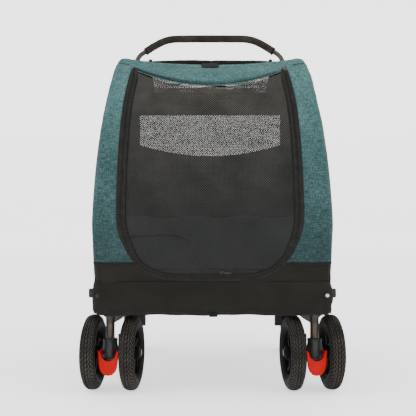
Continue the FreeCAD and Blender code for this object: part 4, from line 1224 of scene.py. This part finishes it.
W6 = WIN + 0.006
for nm, f in (("rear_window_top", lambda q: (-W6 + 2 * W6 * q, 0.770)), ("rear_window_foot", lambda q: (-W6 + 2 * W6 * q, low(-W6 + 2 * W6 * q))),
              ("rear_window_left", lambda q: (-W6, 0.662 + 0.108 * q)), ("rear_window_right", lambda q: (W6, 0.662 + 0.108 * q))):
    pp = rear_pts(f)
    squashed.append(ribbon(nm + "_binding", pp, [Vector((0, 1, 0))] * len(pp), 0.013, 0.0014, "binding"))
# slate lining on the lower inside of the rear wall
verts, uvs = [], []
for i in range(41):
    for j in range(15):
        z = 0.262 + (0.432 - 0.262 + 0.004 * math.sin(i * 0.5)) * j / 14
        x = (i / 20 - 1) * (half(max(z, 0.3)) - 0.014)
        verts.append(Vector((x, 0.298 - 0.004 * math.sin(j / 14 * math.pi) + 0.0015 * noise.noise(Vector((x * 12, z * 14, 7))), z)))
        uvs.append((x, z))
lining = make("rear_lining", verts, grid_faces(41, 15), ["slate"], "base", None, uvs)
solidify(lining, 0.0015)
squashed.append(lining)

for ob in squashed:
    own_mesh(ob)

# ================================================================ skirt
def build_skirt():
    r = 0.016
    x0, yf, yb = 0.2965, Y(-23.6), Y(690.6)
    # plan line: starts at the middle of the rear, runs round by the left, the front, the right
    plan = []

    def corner(cx, cy, a0, a1, n=9):
        for k in range(n):
            a = a0 + (a1 - a0) * k / (n - 1)
            plan.append((cx + r * math.cos(a), cy + r * math.sin(a)))
    for q in np.linspace(0, -(x0 - r), 26)[:-1]:
        plan.append((q, yb))
    corner(-(x0 - r), yb - r, math.pi / 2, math.pi)
    for q in np.linspace(yb - r, yf + r, 52)[1:-1]:
        plan.append((-x0, q))
    corner(-(x0 - r), yf + r, math.pi, 1.5 * math.pi)
    for q in np.linspace(-(x0 - r), x0 - r, 64)[1:-1]:
        plan.append((q, yf))
    corner(x0 - r, yf + r, 1.5 * math.pi, 2 * math.pi)
    for q in np.linspace(yf + r, yb - r, 52)[1:-1]:
        plan.append((x0, q))
    corner(x0 - r, yb - r, 0, math.pi / 2)
    for q in np.linspace(x0 - r, 0, 26)[1:-1]:
        plan.append((q, yb))
    n = len(plan)
    P = np.array(plan)
    t = np.roll(P, -1, 0) - np.roll(P, 1, 0)
    t /= np.linalg.norm(t, axis=1, keepdims=True)
    nrm = np.stack([t[:, 1], -t[:, 0]], 1)
    if (nrm[30] * (P[30] - P.mean(0))).sum() < 0:
        nrm = -nrm
    d = np.concatenate([[0], np.cumsum(np.linalg.norm(np.diff(P, axis=0), axis=1))])
    rows = 20
    verts, uvs = [], []
    for i in range(n):
        x, y = P[i]
        yw = y * 1000 + YM
        front = yw < -8
        # top: low along the front face, where the bow's own cloth takes over
        k = sstep(-14, 16, yw)
        ztop = 0.2795 * (1 - k) + 0.3262 * k
        for j in range(rows):
            q = j / (rows - 1)
            z0 = 0.1945 + 0.0011 * math.sin(x * 31 + y * 17) + 0.0006 * math.sin(x * 83 + y * 61)
            # rounded lower corners
            cr = max(0.0, 1 - abs(abs(x) - x0) / 0.014) * (1 if abs(yw + 24) < 26 else 0)
            z0 += 0.006 * cr
            z = z0 + (ztop - z0) * q
            w = 0.0018 * noise.noise(Vector((x * 7, y * 7, z * 12))) + 0.0010 * noise.noise(Vector((x * 26, y * 26, z * 30 + 2)))
            # waist above the hem near the front corners
            cf = math.exp(-(((yw + 10) / 40) ** 2)) * sstep(0.2, 0.285, abs(x))
            w += -0.0045 * cf * math.exp(-(((z - 0.283) / 0.02) ** 2))
            # drag folds that run to the hinge pin
            hx = (abs(x) - 0.296)
            hd = math.hypot(y - Y(5), z - 0.247)
            ang = math.atan2(z - 0.247, (y - Y(5)) + (0.296 - abs(x)))
            w += 0.0016 * cf * math.cos(ang * 9 + (2 if x > 0 else 0)) * math.exp(-((hd - 0.03) / 0.035) ** 2)
            if abs(x) > 0.28:
                w += 0.0056 * math.exp(-((math.hypot(y - Y(5), z - 0.247) / 0.020) ** 2))
            # hem
            hem_h = z - z0
            if hem_h < 0.0135:
                w += 0.0009
            if 0.012 < hem_h < 0.0165:
                w -= 0.0005
            w -= 0.0012 * (1 if j == 0 else 0)
            verts.append(Vector((x + nrm[i][0] * w, y + nrm[i][1] * w, z)))
            uvs.append((d[i], z))
    ob = make("skirt_cloth", verts, grid_faces(n, rows, closed_n=True), ["bag", "lining"], "base", None, uvs)
    bm = bmesh.new()
    bm.from_mesh(ob.data)
    bmesh.ops.recalc_face_normals(bm, faces=bm.faces[:])
    bm.to_mesh(ob.data)
    bm.free()
    s = sum((p.normal.x * p.center.x + p.normal.y * p.center.y) * p.area for p in ob.data.polygons)
    if s < 0:
        ob.data.flip_normals()
    solidify(ob, 0.0018, inner=1)
    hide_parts("skirt_front", "skirt_left", "skirt_right", "skirt_rear")
    pts = [Vector((P[i][0] + nrm[i][0] * 0.0011, P[i][1] + nrm[i][1] * 0.0011, 0.2072 + 0.0011 * math.sin(P[i][0] * 31 + P[i][1] * 17))) for i in range(n)]
    stitches("skirt_stitch", pts, [Vector((a, b, 0)) for a, b in nrm], "thread_dark", "base", 0.0036, 0.002, 0.0004)
    # the webbing loop that ties the hem to the cross tube shows as a short tab
    tab = [Vector((0.002, yf - 0.0012, 0.2015 - 0.0022 * k)) for k in range(6)]
    ribbon("hem_tab", tab, [Vector((0, -1, 0))] * 6, 0.021, 0.0012, "webbing")
    return ob


build_skirt()

# ================================================================ mat
def build_mat(tag, y0, y1, first):
    lo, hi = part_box("floor_mat")
    lo, hi = Vector((lo.x, y0, lo.z)), Vector((hi.x, y1, hi.z))
    bm = bmesh.new()
    nx, ny = 40, max(12, round((y1 - y0) / 0.012))
    nch = max(2, round((y1 - y0) / 0.105))
    ix, iy = 0.0035, 0.0035
    top, bot = [], []
    for k, rows in ((0, bot), (1, top)):
        for i in range(nx + 1):
            row = []
            for j in range(ny + 1):
                a, b = i / nx * 2 - 1, j / ny * 2 - 1
                # rounded corners
                ax = math.copysign(abs(a) ** 1.0, a)
                x = (lo.x + hi.x) / 2 + ax * ((hi.x - lo.x) / 2 - ix)
                y = (lo.y + hi.y) / 2 + b * ((hi.y - lo.y) / 2 - iy)
                cx, cy = (hi.x - lo.x) / 2 - ix - 0.02, (hi.y - lo.y) / 2 - iy - 0.02
                dx, dy = max(abs(x - (lo.x + hi.x) / 2) - cx, 0), max(abs(y - (lo.y + hi.y) / 2) - cy, 0)
                if dx > 0 and dy > 0:
                    m = max(dx, dy)
                    l = math.hypot(dx, dy)
                    f = m / l
                    x = (lo.x + hi.x) / 2 + math.copysign(cx + dx * f, a)
                    y = (lo.y + hi.y) / 2 + math.copysign(cy + dy * f, b)
                z = (lo.z + 0.0005) if k == 0 else hi.z - 0.0065
                row.append(bm.verts.new((x, y, z)))
            rows.append(row)
    for i in range(nx):
        for j in range(ny):
            bm.faces.new((top[i][j], top[i + 1][j], top[i + 1][j + 1], top[i][j + 1]))
            bm.faces.new((bot[i][j], bot[i][j + 1], bot[i + 1][j + 1], bot[i + 1][j]))
    ring_t = [top[i][0] for i in range(nx)] + [top[nx][j] for j in range(ny)] + [top[i][ny] for i in range(nx, 0, -1)] + [top[0][j] for j in range(ny, 0, -1)]
    ring_b = [bot[i][0] for i in range(nx)] + [bot[nx][j] for j in range(ny)] + [bot[i][ny] for i in range(nx, 0, -1)] + [bot[0][j] for j in range(ny, 0, -1)]
    L = len(ring_t)
    for k in range(L):
        bm.faces.new((ring_b[k], ring_b[(k + 1) % L], ring_t[(k + 1) % L], ring_t[k]))
    bmesh.ops.recalc_face_normals(bm, faces=bm.faces[:])
    me = bpy.data.meshes.new("mat_cushion_" + tag)
    bm.to_mesh(me)
    bm.free()
    ob = bpy.data.objects.new("mat_cushion_" + tag, me)
    bpy.context.collection.objects.link(ob)
    me.materials.append(M["mat"])
    rm = ob.modifiers.new("remesh", "REMESH")
    rm.mode = "VOXEL"
    rm.voxel_size = 0.006
    apply_mods(ob)
    me = ob.data
    rest = np.zeros(len(me.vertices) * 3)
    me.vertices.foreach_get("co", rest)
    rest = rest.reshape(-1, 3)
    pins = ob.vertex_groups.new(name="pin")
    # sewn channels across the mat hold the top down
    channel = []
    for i, c in enumerate(rest):
        q = (c[1] - lo.y) / (hi.y - lo.y)
        e = min(abs((q * nch) % 1.0), 1 - abs((q * nch) % 1.0)) * (hi.y - lo.y) / nch
        if (e < 0.004 and 0.08 < q < 0.92) or c[2] < lo.z + 0.003:
            channel.append(i)
    pins.add(channel, 1.0, "REPLACE")
    cl = ob.modifiers.new("cloth", "CLOTH")
    st = cl.settings
    st.quality = 5
    st.mass = 0.3
    st.use_pressure = True
    st.uniform_pressure_force = 4
    st.effector_weights.gravity = 0
    st.vertex_group_mass = "pin"
    cl.collision_settings.use_collision = False
    cl.point_cache.frame_start, cl.point_cache.frame_end = 1, 20
    for f in range(1, 21):
        bpy.context.scene.frame_set(f)
    dg = bpy.context.evaluated_depsgraph_get()
    ev = ob.evaluated_get(dg)
    co = np.zeros(len(ev.data.vertices) * 3)
    ev.data.vertices.foreach_get("co", co)
    co = co.reshape(-1, 3)
    ob.modifiers.clear()
    bpy.context.scene.frame_set(1)
    mv = co - rest
    l = np.linalg.norm(mv, axis=1, keepdims=True)
    mv = mv / np.maximum(l, 1e-9) * np.minimum(l, 0.0055)
    co = rest + mv
    # nothing reaches below the board or past the CAD box
    co[:, 2] = np.maximum(co[:, 2], lo.z + 0.0004)
    co[:, 0] = np.clip(co[:, 0], lo.x, hi.x)
    co[:, 1] = np.clip(co[:, 1], lo.y, hi.y)
    ob.data.vertices.foreach_set("co", co.ravel())
    ob.data.update()
    ob.data.polygons.foreach_set("use_smooth", [True] * len(ob.data.polygons))
    ob.vertex_groups.clear()
    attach(ob, "base")
    if first:
        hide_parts("floor_mat")
    # binding round the edge
    zc = lo.z + 0.006
    pts = []
    cx, cy = (hi.x - lo.x) / 2 - 0.004, (hi.y - lo.y) / 2 - 0.004
    mx, my = (hi.x + lo.x) / 2, (hi.y + lo.y) / 2
    R = 0.02
    for (sx, sy, a0) in ((1, 1, 0), (-1, 1, 90), (-1, -1, 180), (1, -1, 270)):
        for k in range(8):
            a = math.radians(a0 + 90 * k / 7)
            pts.append(Vector((mx + sx * (cx - R) + R * math.cos(a), my + sy * (cy - R) + R * math.sin(a), zc)))
    pts.append(pts[0].copy())
    v, f, u = tube_mesh(pts, 0.0022, 8, caps=False)
    make("mat_piping_" + tag, v, f, ["binding"], "base", None, u)
    return ob


_lo, _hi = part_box("floor_mat")
build_mat("front", _lo.y, Y(446), True)
build_mat("rear", Y(449), _hi.y, False)

# the floor cloth runs forward from the board to the front wall
verts, uvs = [], []
for i in range(33):
    for j in range(7):
        x = (i / 16 - 1) * 0.262
        y = Y(-20.5) + (Y(23.4) - Y(-20.5)) * j / 6
        verts.append(Vector((x, y, 0.2365 - 0.0016 * math.sin(j / 6 * math.pi) + 0.0006 * noise.noise(Vector((x * 30, y * 30, 2))))))
        uvs.append((x, y))
apron = make("floor_apron", verts, grid_faces(33, 7), ["lining"], "base", None, uvs)
solidify(apron, 0.0012)

# ================================================================ fork blocks
for tag, sg in (("left", -1), ("right", 1)):
    body = "caster_" + tag
    cen = Vector((sg * 0.2615, -0.372, 0.0765))
    bm = bmesh.new()
    bmesh.ops.create_cube(bm, size=1.0)
    for v_ in bm.verts:
        v_.co = Vector((v_.co.x * 0.025, v_.co.y * 0.022, v_.co.z * 0.025)) + cen
    bmesh.ops.bevel(bm, geom=bm.edges[:], offset=0.004, segments=3, affect="EDGES", profile=0.5)
    me = bpy.data.meshes.new("fork_block_" + tag)
    bm.to_mesh(me)
    bm.free()
    ob = bpy.data.objects.new("fork_block_" + tag, me)
    bpy.context.collection.objects.link(ob)
    me.materials.append(M["plastic"])
    me.polygons.foreach_set("use_smooth", [True] * len(me.polygons))
    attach(ob, body)

# ================================================================ leash
ROUTE = [(-288, 672, 361), (-232, 677, 367), (-176, 678, 371), (-124, 678, 372), (-84, 677, 364), (-60, 675, 340), (-46, 675.5, 309),
         (-37, 671, 282), (-26, 648, 264.5), (-14, 608, 262), (-2, 564, 262), (10, 522, 262), (30, 492, 262)]
ROUTE = [(x / 1000, Y(y), z / 1000) for x, y, z in ROUTE]
cu = bpy.data.curves.new("leash_line", "CURVE")
cu.dimensions = "3D"
sp = cu.splines.new("NURBS")
sp.points.add(len(ROUTE) - 1)
for pnt, q in zip(sp.points, ROUTE):
    pnt.co = (*q, 1)
sp.order_u = 3
sp.use_endpoint_u = True
cu.resolution_u = 12
line_ob = bpy.data.objects.new("leash_line", cu)
line_me = bpy.data.meshes.new_from_object(line_ob)
LINE = [Vector(v.co) for v in line_me.vertices]
bpy.data.objects.remove(line_ob)
v, f, u = tube_mesh(LINE, 0.0049, 14)
leash = make("leash_webbing", v, f, ["webbing"], "base", None, u)
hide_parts("leash")
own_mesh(leash)

# ================================================================ tyres
def tyre_mesh(R, rim_r, w):
    """one tyre about the X axis, centred at the origin: carcass, ribs and blocks."""
    prof = []
    hw = w / 2
    # from the inner bead outwards round to the other bead
    pts = [(-hw * 0.66, rim_r + 0.0003), (-hw * 0.84, rim_r + 0.003), (-hw * 0.97, rim_r + 0.009), (-hw, rim_r + 0.0145), (-hw * 0.97, R - 0.0150), (-hw * 0.88, R - 0.0108), (-hw * 0.70, R - 0.0068),
           (-hw * 0.42, R - 0.0040), (0, R - 0.0027), (hw * 0.42, R - 0.0040), (hw * 0.70, R - 0.0068), (hw * 0.88, R - 0.0108), (hw * 0.97, R - 0.0150), (hw, rim_r + 0.0145), (hw * 0.97, rim_r + 0.009), (hw * 0.84, rim_r + 0.003), (hw * 0.66, rim_r + 0.0003)]
    line = catmull(pts, 3)
    N = 96
    verts, faces = [], []
    for k in range(N):
        a = 2 * math.pi * k / N
        for x, r in line:
            verts.append((x, r * math.sin(a), r * math.cos(a)))
    m = len(line)
    for k in range(N):
        for j in range(m - 1):
            a, b = k * m + j, ((k + 1) % N) * m + j
            faces.append((a, a + 1, b + 1, b))
        faces.append((k * m + m - 1, k * m, ((k + 1) % N) * m, ((k + 1) % N) * m + m - 1))

    tops = []

    def surf_r(x):
        return float(np.interp(x, [p[0] for p in line[6:-6]], [p[1] for p in line[6:-6]]))

    def block(xc, wx, a0, da, h, skew=0.0, taper=0.78):
        base = len(verts)
        tops.append(len(faces))
        for (s, t, k) in ((-1, -1, 0), (1, -1, 0), (1, 1, 0), (-1, 1, 0), (-1, -1, 1), (1, -1, 1), (1, 1, 1), (-1, 1, 1)):
            tp = taper if k else 1.0
            x = xc + s * wx / 2 * tp
            a = a0 + t * da / 2 * tp + skew * (x - xc)
            r = surf_r(x) + (h if k else -0.0008)
            r = min(r, R - 0.00005)
            verts.append((x, r * math.sin(a), r * math.cos(a)))
        for q in ((4, 5, 6, 7), (0, 1, 5, 4), (1, 2, 6, 5), (2, 3, 7, 6), (3, 0, 4, 7), (3, 2, 1, 0)):
            faces.append(tuple(base + i for i in q))
    n1 = 50
    for k in range(n1):
        a = 2 * math.pi * k / n1
        st = math.pi / n1
        block(0.0, w * 0.12, a, 2 * math.pi / n1 * 0.72, 0.0026, 20)
        for s in (-1, 1):
            block(s * w * 0.185, w * 0.135, a + st, 2 * math.pi / n1 * 0.64, 0.0028, s * 26)
            block(s * w * 0.335, w * 0.115, a, 2 * math.pi / n1 * 0.58, 0.0028, -s * 24)
            block(s * w * 0.452, w * 0.085, a + st, 2 * math.pi / n1 * 0.50, 0.0024, s * 10)
    # sidewall rings
    for s in (-1, 1):
        for rr, hh in ((rim_r + 0.007, 0.0006), (R - 0.0165, 0.0005)):
            base = len(verts)
            x = s * float(np.interp(rr, [rim_r, rim_r + 0.009, rim_r + 0.0145, R - 0.0150, R - 0.0108], [hw * 0.7, hw * 0.97, hw, hw * 0.97, hw * 0.88]))
            for k in range(N):
                a = 2 * math.pi * k / N
                for dx, dr in ((-0.0006, -0.0012), (hh, -0.0005), (hh, 0.0005), (-0.0006, 0.0012)):
                    verts.append((x + s * dx, (rr + dr) * math.sin(a), (rr + dr) * math.cos(a)))
            for k in range(N):
                for j in range(3):
                    a, b = base + k * 4 + j, base + ((k + 1) % N) * 4 + j
                    faces.append((a, a + 1, b + 1, b))
    # faces listed in tops take the lighter block finish: partly wear, partly painted highlight
    mark = [0] * len(faces)
    for k in tops:
        mark[k] = 1
    return verts, faces, mark


def recalc(ob):
    bm = bmesh.new()
    bm.from_mesh(ob.data)
    bmesh.ops.recalc_face_normals(bm, faces=bm.faces[:])
    bm.to_mesh(ob.data)
    bm.free()


def sharp(ob, deg=38):
    me = ob.data
    bm = bmesh.new()
    bm.from_mesh(me)
    lim = math.radians(deg)
    for e in bm.edges:
        if len(e.link_faces) == 2 and e.calc_face_angle(0) > lim:
            e.smooth = False
    bm.to_mesh(me)
    bm.free()


tv, tf, tm = tyre_mesh(0.095, 0.063, 0.038)
WHEELS = {}
for side in ("left", "right"):
    for pos in ("outer", "inner"):
        WHEELS["front_%s_%s_tyre" % (side, pos)] = ("wheel_spin_%s_%s" % (side, pos), "wheel_%s_%s" % (side, pos))
    WHEELS["rear_%s_tyre" % side] = ("rear_wheel_spin_%s" % side, "rear_wheel_%s" % side)
for node, (jn, body) in WHEELS.items():
    j = JOINTS[jn]
    ax = Vector(j["axis"]).normalized()
    co = np.array([v.co for v in NODES[node].data.vertices])
    cen = Vector(((co.max(0) + co.min(0)) / 2).tolist())
    rot = Vector((1, 0, 0)).rotation_difference(ax).to_matrix()
    vv = [rot @ Vector(p) + cen for p in tv]
    ob = make(node.replace("_tyre", "_tread"), vv, tf, ["rubber", "rubber_top"], body, tm)
    recalc(ob)
    sharp(ob)
    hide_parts(node)

# ================================================================ zip pull and rivets
lo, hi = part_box("zip_pull")
zc = (lo + hi) / 2
pull_top = Vector((zc.x, hi.y - 0.001, hi.z - 0.001))
pull_dir = Vector((0, lo.y - hi.y, lo.z - hi.z)).normalized()
side_v = Vector((1, 0, 0))
out_v = side_v.cross(pull_dir)
if out_v.y > 0:
    out_v = -out_v
L = (hi - lo).length * 0.86
loop = []
for k in range(25):
    a = 2 * math.pi * k / 24
    ry, rx = math.cos(a), math.sin(a)
    w_ = 0.0030 * (1 + 0.35 * (1 - ry) / 2)
    loop.append(pull_top + pull_dir * (L * (0.5 - 0.46 * ry)) + side_v * (w_ * rx))
v, f, u = tube_mesh(loop, 0.00095, 8, caps=False)
ring = make("zip_pull_ring", v, f, ["gunmetal"], "zip_pull", None, u)
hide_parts("zip_pull")
# slider on the track
sv, sf = [], []
uz, vz = 0.196, v_of_z(0.836)
sl = []
for k, (du, dv, h) in enumerate(((-0.0042, 0.006, 0.0012), (0.0042, 0.006, 0.0012), (0.0052, 0.001, 0.0012), (0.0030, -0.007, 0.0012), (-0.0030, -0.007, 0.0012), (-0.0052, 0.001, 0.0012))):
    sl.append((du, dv))
for h, sc in ((0.0010, 1.0), (0.0030, 1.0), (0.0040, 0.78)):
    for du, dv in sl:
        sv.append(front_point(uz + du * sc, vz + dv * sc, h))
for r_ in range(2):
    for k in range(6):
        a, b = r_ * 6 + k, r_ * 6 + (k + 1) % 6
        sf.append((a, b, b + 6, a + 6))
sf.append(tuple(range(6))[::-1])
sf.append(tuple(range(12, 18)))
sl_ob = make("zip_slider", sv, sf, ["gunmetal"], "front_bow", smooth=False)
recalc(sl_ob)
md = sl_ob.modifiers.new("bevel", "BEVEL")
md.width, md.segments = 0.0006, 2
apply_mods(sl_ob)

lo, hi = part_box("bag_screws")
zr = (lo.z + hi.z) / 2
for tag, sx in (("left", -1), ("right", 1)):
    x = sx * (hi.x - 0.0045) if hi.x > 0 else sx * 0.283
    rv, rf = [], []
    sec = [(0.0046, 0.0), (0.0046, 0.0006), (0.0040, 0.0012), (0.0036, 0.0011), (0.0032, 0.0022), (0.0022, 0.0030), (0.0008, 0.0033)]
    y_skin = Y(-23.6) - 0.0012
    for k in range(24):
        a = 2 * math.pi * k / 24
        for r_, h in sec:
            rv.append((x + r_ * math.cos(a), y_skin - h, zr + r_ * math.sin(a)))
    m_ = len(sec)
    for k in range(24):
        for j_ in range(m_ - 1):
            a, b = k * m_ + j_, ((k + 1) % 24) * m_ + j_
            rf.append((a, a + 1, b + 1, b))
    rf.append(tuple(k * m_ + m_ - 1 for k in range(24)))
    rf.append(tuple(k * m_ for k in range(24))[::-1])
    rb = make("bag_rivet_" + tag, rv, rf, ["steel" if tag == "right" else "plastic"], "base")
    recalc(rb)
    if tag == "right":
        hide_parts("bag_screws")

# dark collars at both ends of the foam grip: rings round the foam's end edge
ENDS = {}
grip = NODES["handle_grip"]
gco = np.array([v.co for v in grip.data.vertices])
for tag, sg in (("left", -1), ("right", 1)):
    # the end's flat ring: the points furthest out along the tube
    d = np.array([sg * 0.90, 0.0, -0.43])
    d /= np.linalg.norm(d)
    along = gco @ d
    # refine the direction from the last stretch of the foam
    near = gco[along > along.max() - 0.004]
    back = gco[(along < along.max() - 0.020) & (along > along.max() - 0.034)]
    c0 = near.mean(0)
    if len(back) > 6:
        d2 = c0 - back.mean(0)
        d = d2 / np.linalg.norm(d2)
        along = gco @ d
        near = gco[along > along.max() - 0.003]
        c0 = near.mean(0)
    dirv, c0 = Vector(d), Vector(c0)
    rr = float(np.linalg.norm(np.cross(near - np.array(c0), d), axis=1).max())
    path = [c0 - dirv * 0.0050, c0 - dirv * 0.0046, c0 - dirv * 0.0010, c0 + dirv * 0.0008]
    verts, faces, uvs = [], [], []
    nrm = dirv.orthogonal().normalized()
    bi = dirv.cross(nrm)
    sec = [(-0.0055, 0.9985), (-0.0052, 1.05), (-0.0044, 1.075), (-0.0006, 1.075), (0.0006, 1.05), (0.0010, 0.95), (0.0010, 0.66), (0.0004, 0.66)]
    for k in range(32):
        a_ = 2 * math.pi * k / 32
        for off, r_ in sec:
            verts.append(c0 + dirv * off + (nrm * math.cos(a_) + bi * math.sin(a_)) * rr * r_)
    m_ = len(sec)
    for k in range(32):
        for j_ in range(m_ - 1):
            a1, b1 = k * m_ + j_, ((k + 1) % 32) * m_ + j_
            faces.append((a1, a1 + 1, b1 + 1, b1))
    cb = make("grip_collar_" + tag, verts, faces, ["binding"], "handle_slider")
    recalc(cb)
    ENDS[tag] = c0

# the foam sleeve: one soft bow, a little fuller than the tube inside it
def build_foam():
    mid = [(-190, 1015.2), (-160, 1031.2), (-132, 1039.2), (-100, 1041.2), (0, 1041.6), (100, 1041.2), (132, 1039.2), (160, 1031.2), (190, 1015.2)]
    zz = ENDS["left"].z
    pts = [ENDS["left"]] + [Vector((x / 1000, ENDS["left"].y + (z / 1000 - zz) * 0.1763, z / 1000)) for x, z in mid] + [ENDS["right"]]
    line = catmull([tuple(q) for q in pts], 9)
    d = np.concatenate([[0], np.cumsum(np.linalg.norm(np.diff(line, axis=0), axis=1))])
    n = 110
    line = [Vector([np.interp(t, d, line[:, k]) for k in range(3)]) for t in np.linspace(0, d[-1], n)]
    v, f, u = tube_mesh(line, 0.0126, 28)
    out = []
    for i, q in enumerate(v):
        c = line[i // 28]
        e = min(i // 28, n - 1 - i // 28)
        k = 1 + 0.018 * noise.noise(Vector((q.x * 24, q.y * 60, q.z * 60))) - (0.05 if e == 0 else 0.012 if e == 1 else 0)
        out.append(c + (q - c) * k)
    ob = make("grip_foam", out, f, ["foam"], "handle_slider", None, u)
    recalc(ob)
    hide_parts("handle_grip")


build_foam()

# ================================================================ finishes of the CAD pieces
RULES = [("_rim", "rim"), ("caster_housing", "plastic"), ("caster_axle", "plastic"), ("brake_pedal", "red"), ("swivel_lock", "plastic"), ("front_leg", "leg"),
         ("side_rail", "tube_dark"), ("bow_hinge", "plastic"), ("rear_leg", "plastic"), ("rear_upright", "tube_dark"), ("cross_tube", "tube_dark"),
         ("rear_axles", "plastic"), ("floor_board", "board"), ("floor_slats", "board"), ("front_pole", "tube_dark"), ("handle_sleeve", "tube_dark"), ("handle_bar", "tube_dark"),
         ("handle_grip", "foam"), ("release_button", "plastic"), ("zip_pull", "steel"), ("leash_hook", "steel"), ("bag_screws", "steel")]
for name, ob in NODES.items():
    if ob.hide_render:
        continue
    for key, mat in RULES:
        if key in name:
            for s in ob.material_slots:
                s.material = M[mat]
            break
    else:
        print("no finish for", name)

# ================================================================ stage and light
def build_stage():
    verts, faces = [], []
    prof = [(0.0, 0), (3.0, 0), (9.0, 0)] + [(9 + 2 * math.sin(a), 2 - 2 * math.cos(a)) for a in np.linspace(0.1, math.pi / 2, 16)] + [(11.0, 5.0), (11.0, 9.0)]
    sides = 96
    for k in range(sides):
        an = 2 * math.pi * k / sides
        for r_, z in prof[1:]:
            verts.append((r_ * math.cos(an), r_ * math.sin(an), z - 0.0002))
    m = len(prof) - 1
    for k in range(sides):
        a, b = k * m, ((k + 1) % sides) * m
        for j in range(m - 1):
            faces.append((a + j, a + j + 1, b + j + 1, b + j))
    faces.append(tuple(k * m for k in range(sides)))
    me = bpy.data.meshes.new("stage_floor")
    me.from_pydata(verts, [], faces)
    me.polygons.foreach_set("use_smooth", [True] * len(me.polygons))
    ob = bpy.data.objects.new("stage_floor", me)
    bpy.context.collection.objects.link(ob)
    m_ = Mat("stage_pale", rough=0.9, spec=0.1)
    m_.b.inputs["Base Color"].default_value = (0.95, 0.95, 0.95, 1)
    m_.b.inputs["Emission Color"].default_value = (1, 1, 1, 1)
    m_.b.inputs["Emission Strength"].default_value = 0.98
    me.materials.append(m_.m)


build_stage()


def area(name, loc, target, size, power, color=(1, 1, 1)):
    l = bpy.data.lights.new(name, "AREA")
    l.shape = "RECTANGLE"
    l.size, l.size_y = size
    l.energy = power
    l.color = color
    o = bpy.data.objects.new(name, l)
    o.location = loc
    o.rotation_euler = (Vector(target) - Vector(loc)).to_track_quat("-Z", "Y").to_euler()
    bpy.context.collection.objects.link(o)


area("key_top", (0, -0.9, 3.2), (0, 0, 0.4), (3.0, 2.4), 26)
area("fill_left", (-2.8, -2.0, 1.7), (0, 0, 0.5), (1.8, 2.2), 5)
area("fill_right", (2.8, -2.0, 1.7), (0, 0, 0.5), (1.8, 2.2), 5)
area("back", (0, 2.7, 2.2), (0, 0, 0.6), (3.0, 1.6), 10)
world = bpy.data.worlds.new("studio")
world.use_nodes = True
world.node_tree.nodes["Background"].inputs["Color"].default_value = (1, 1, 1, 1)
world.node_tree.nodes["Background"].inputs["Strength"].default_value = 0.85
bpy.context.scene.world = world
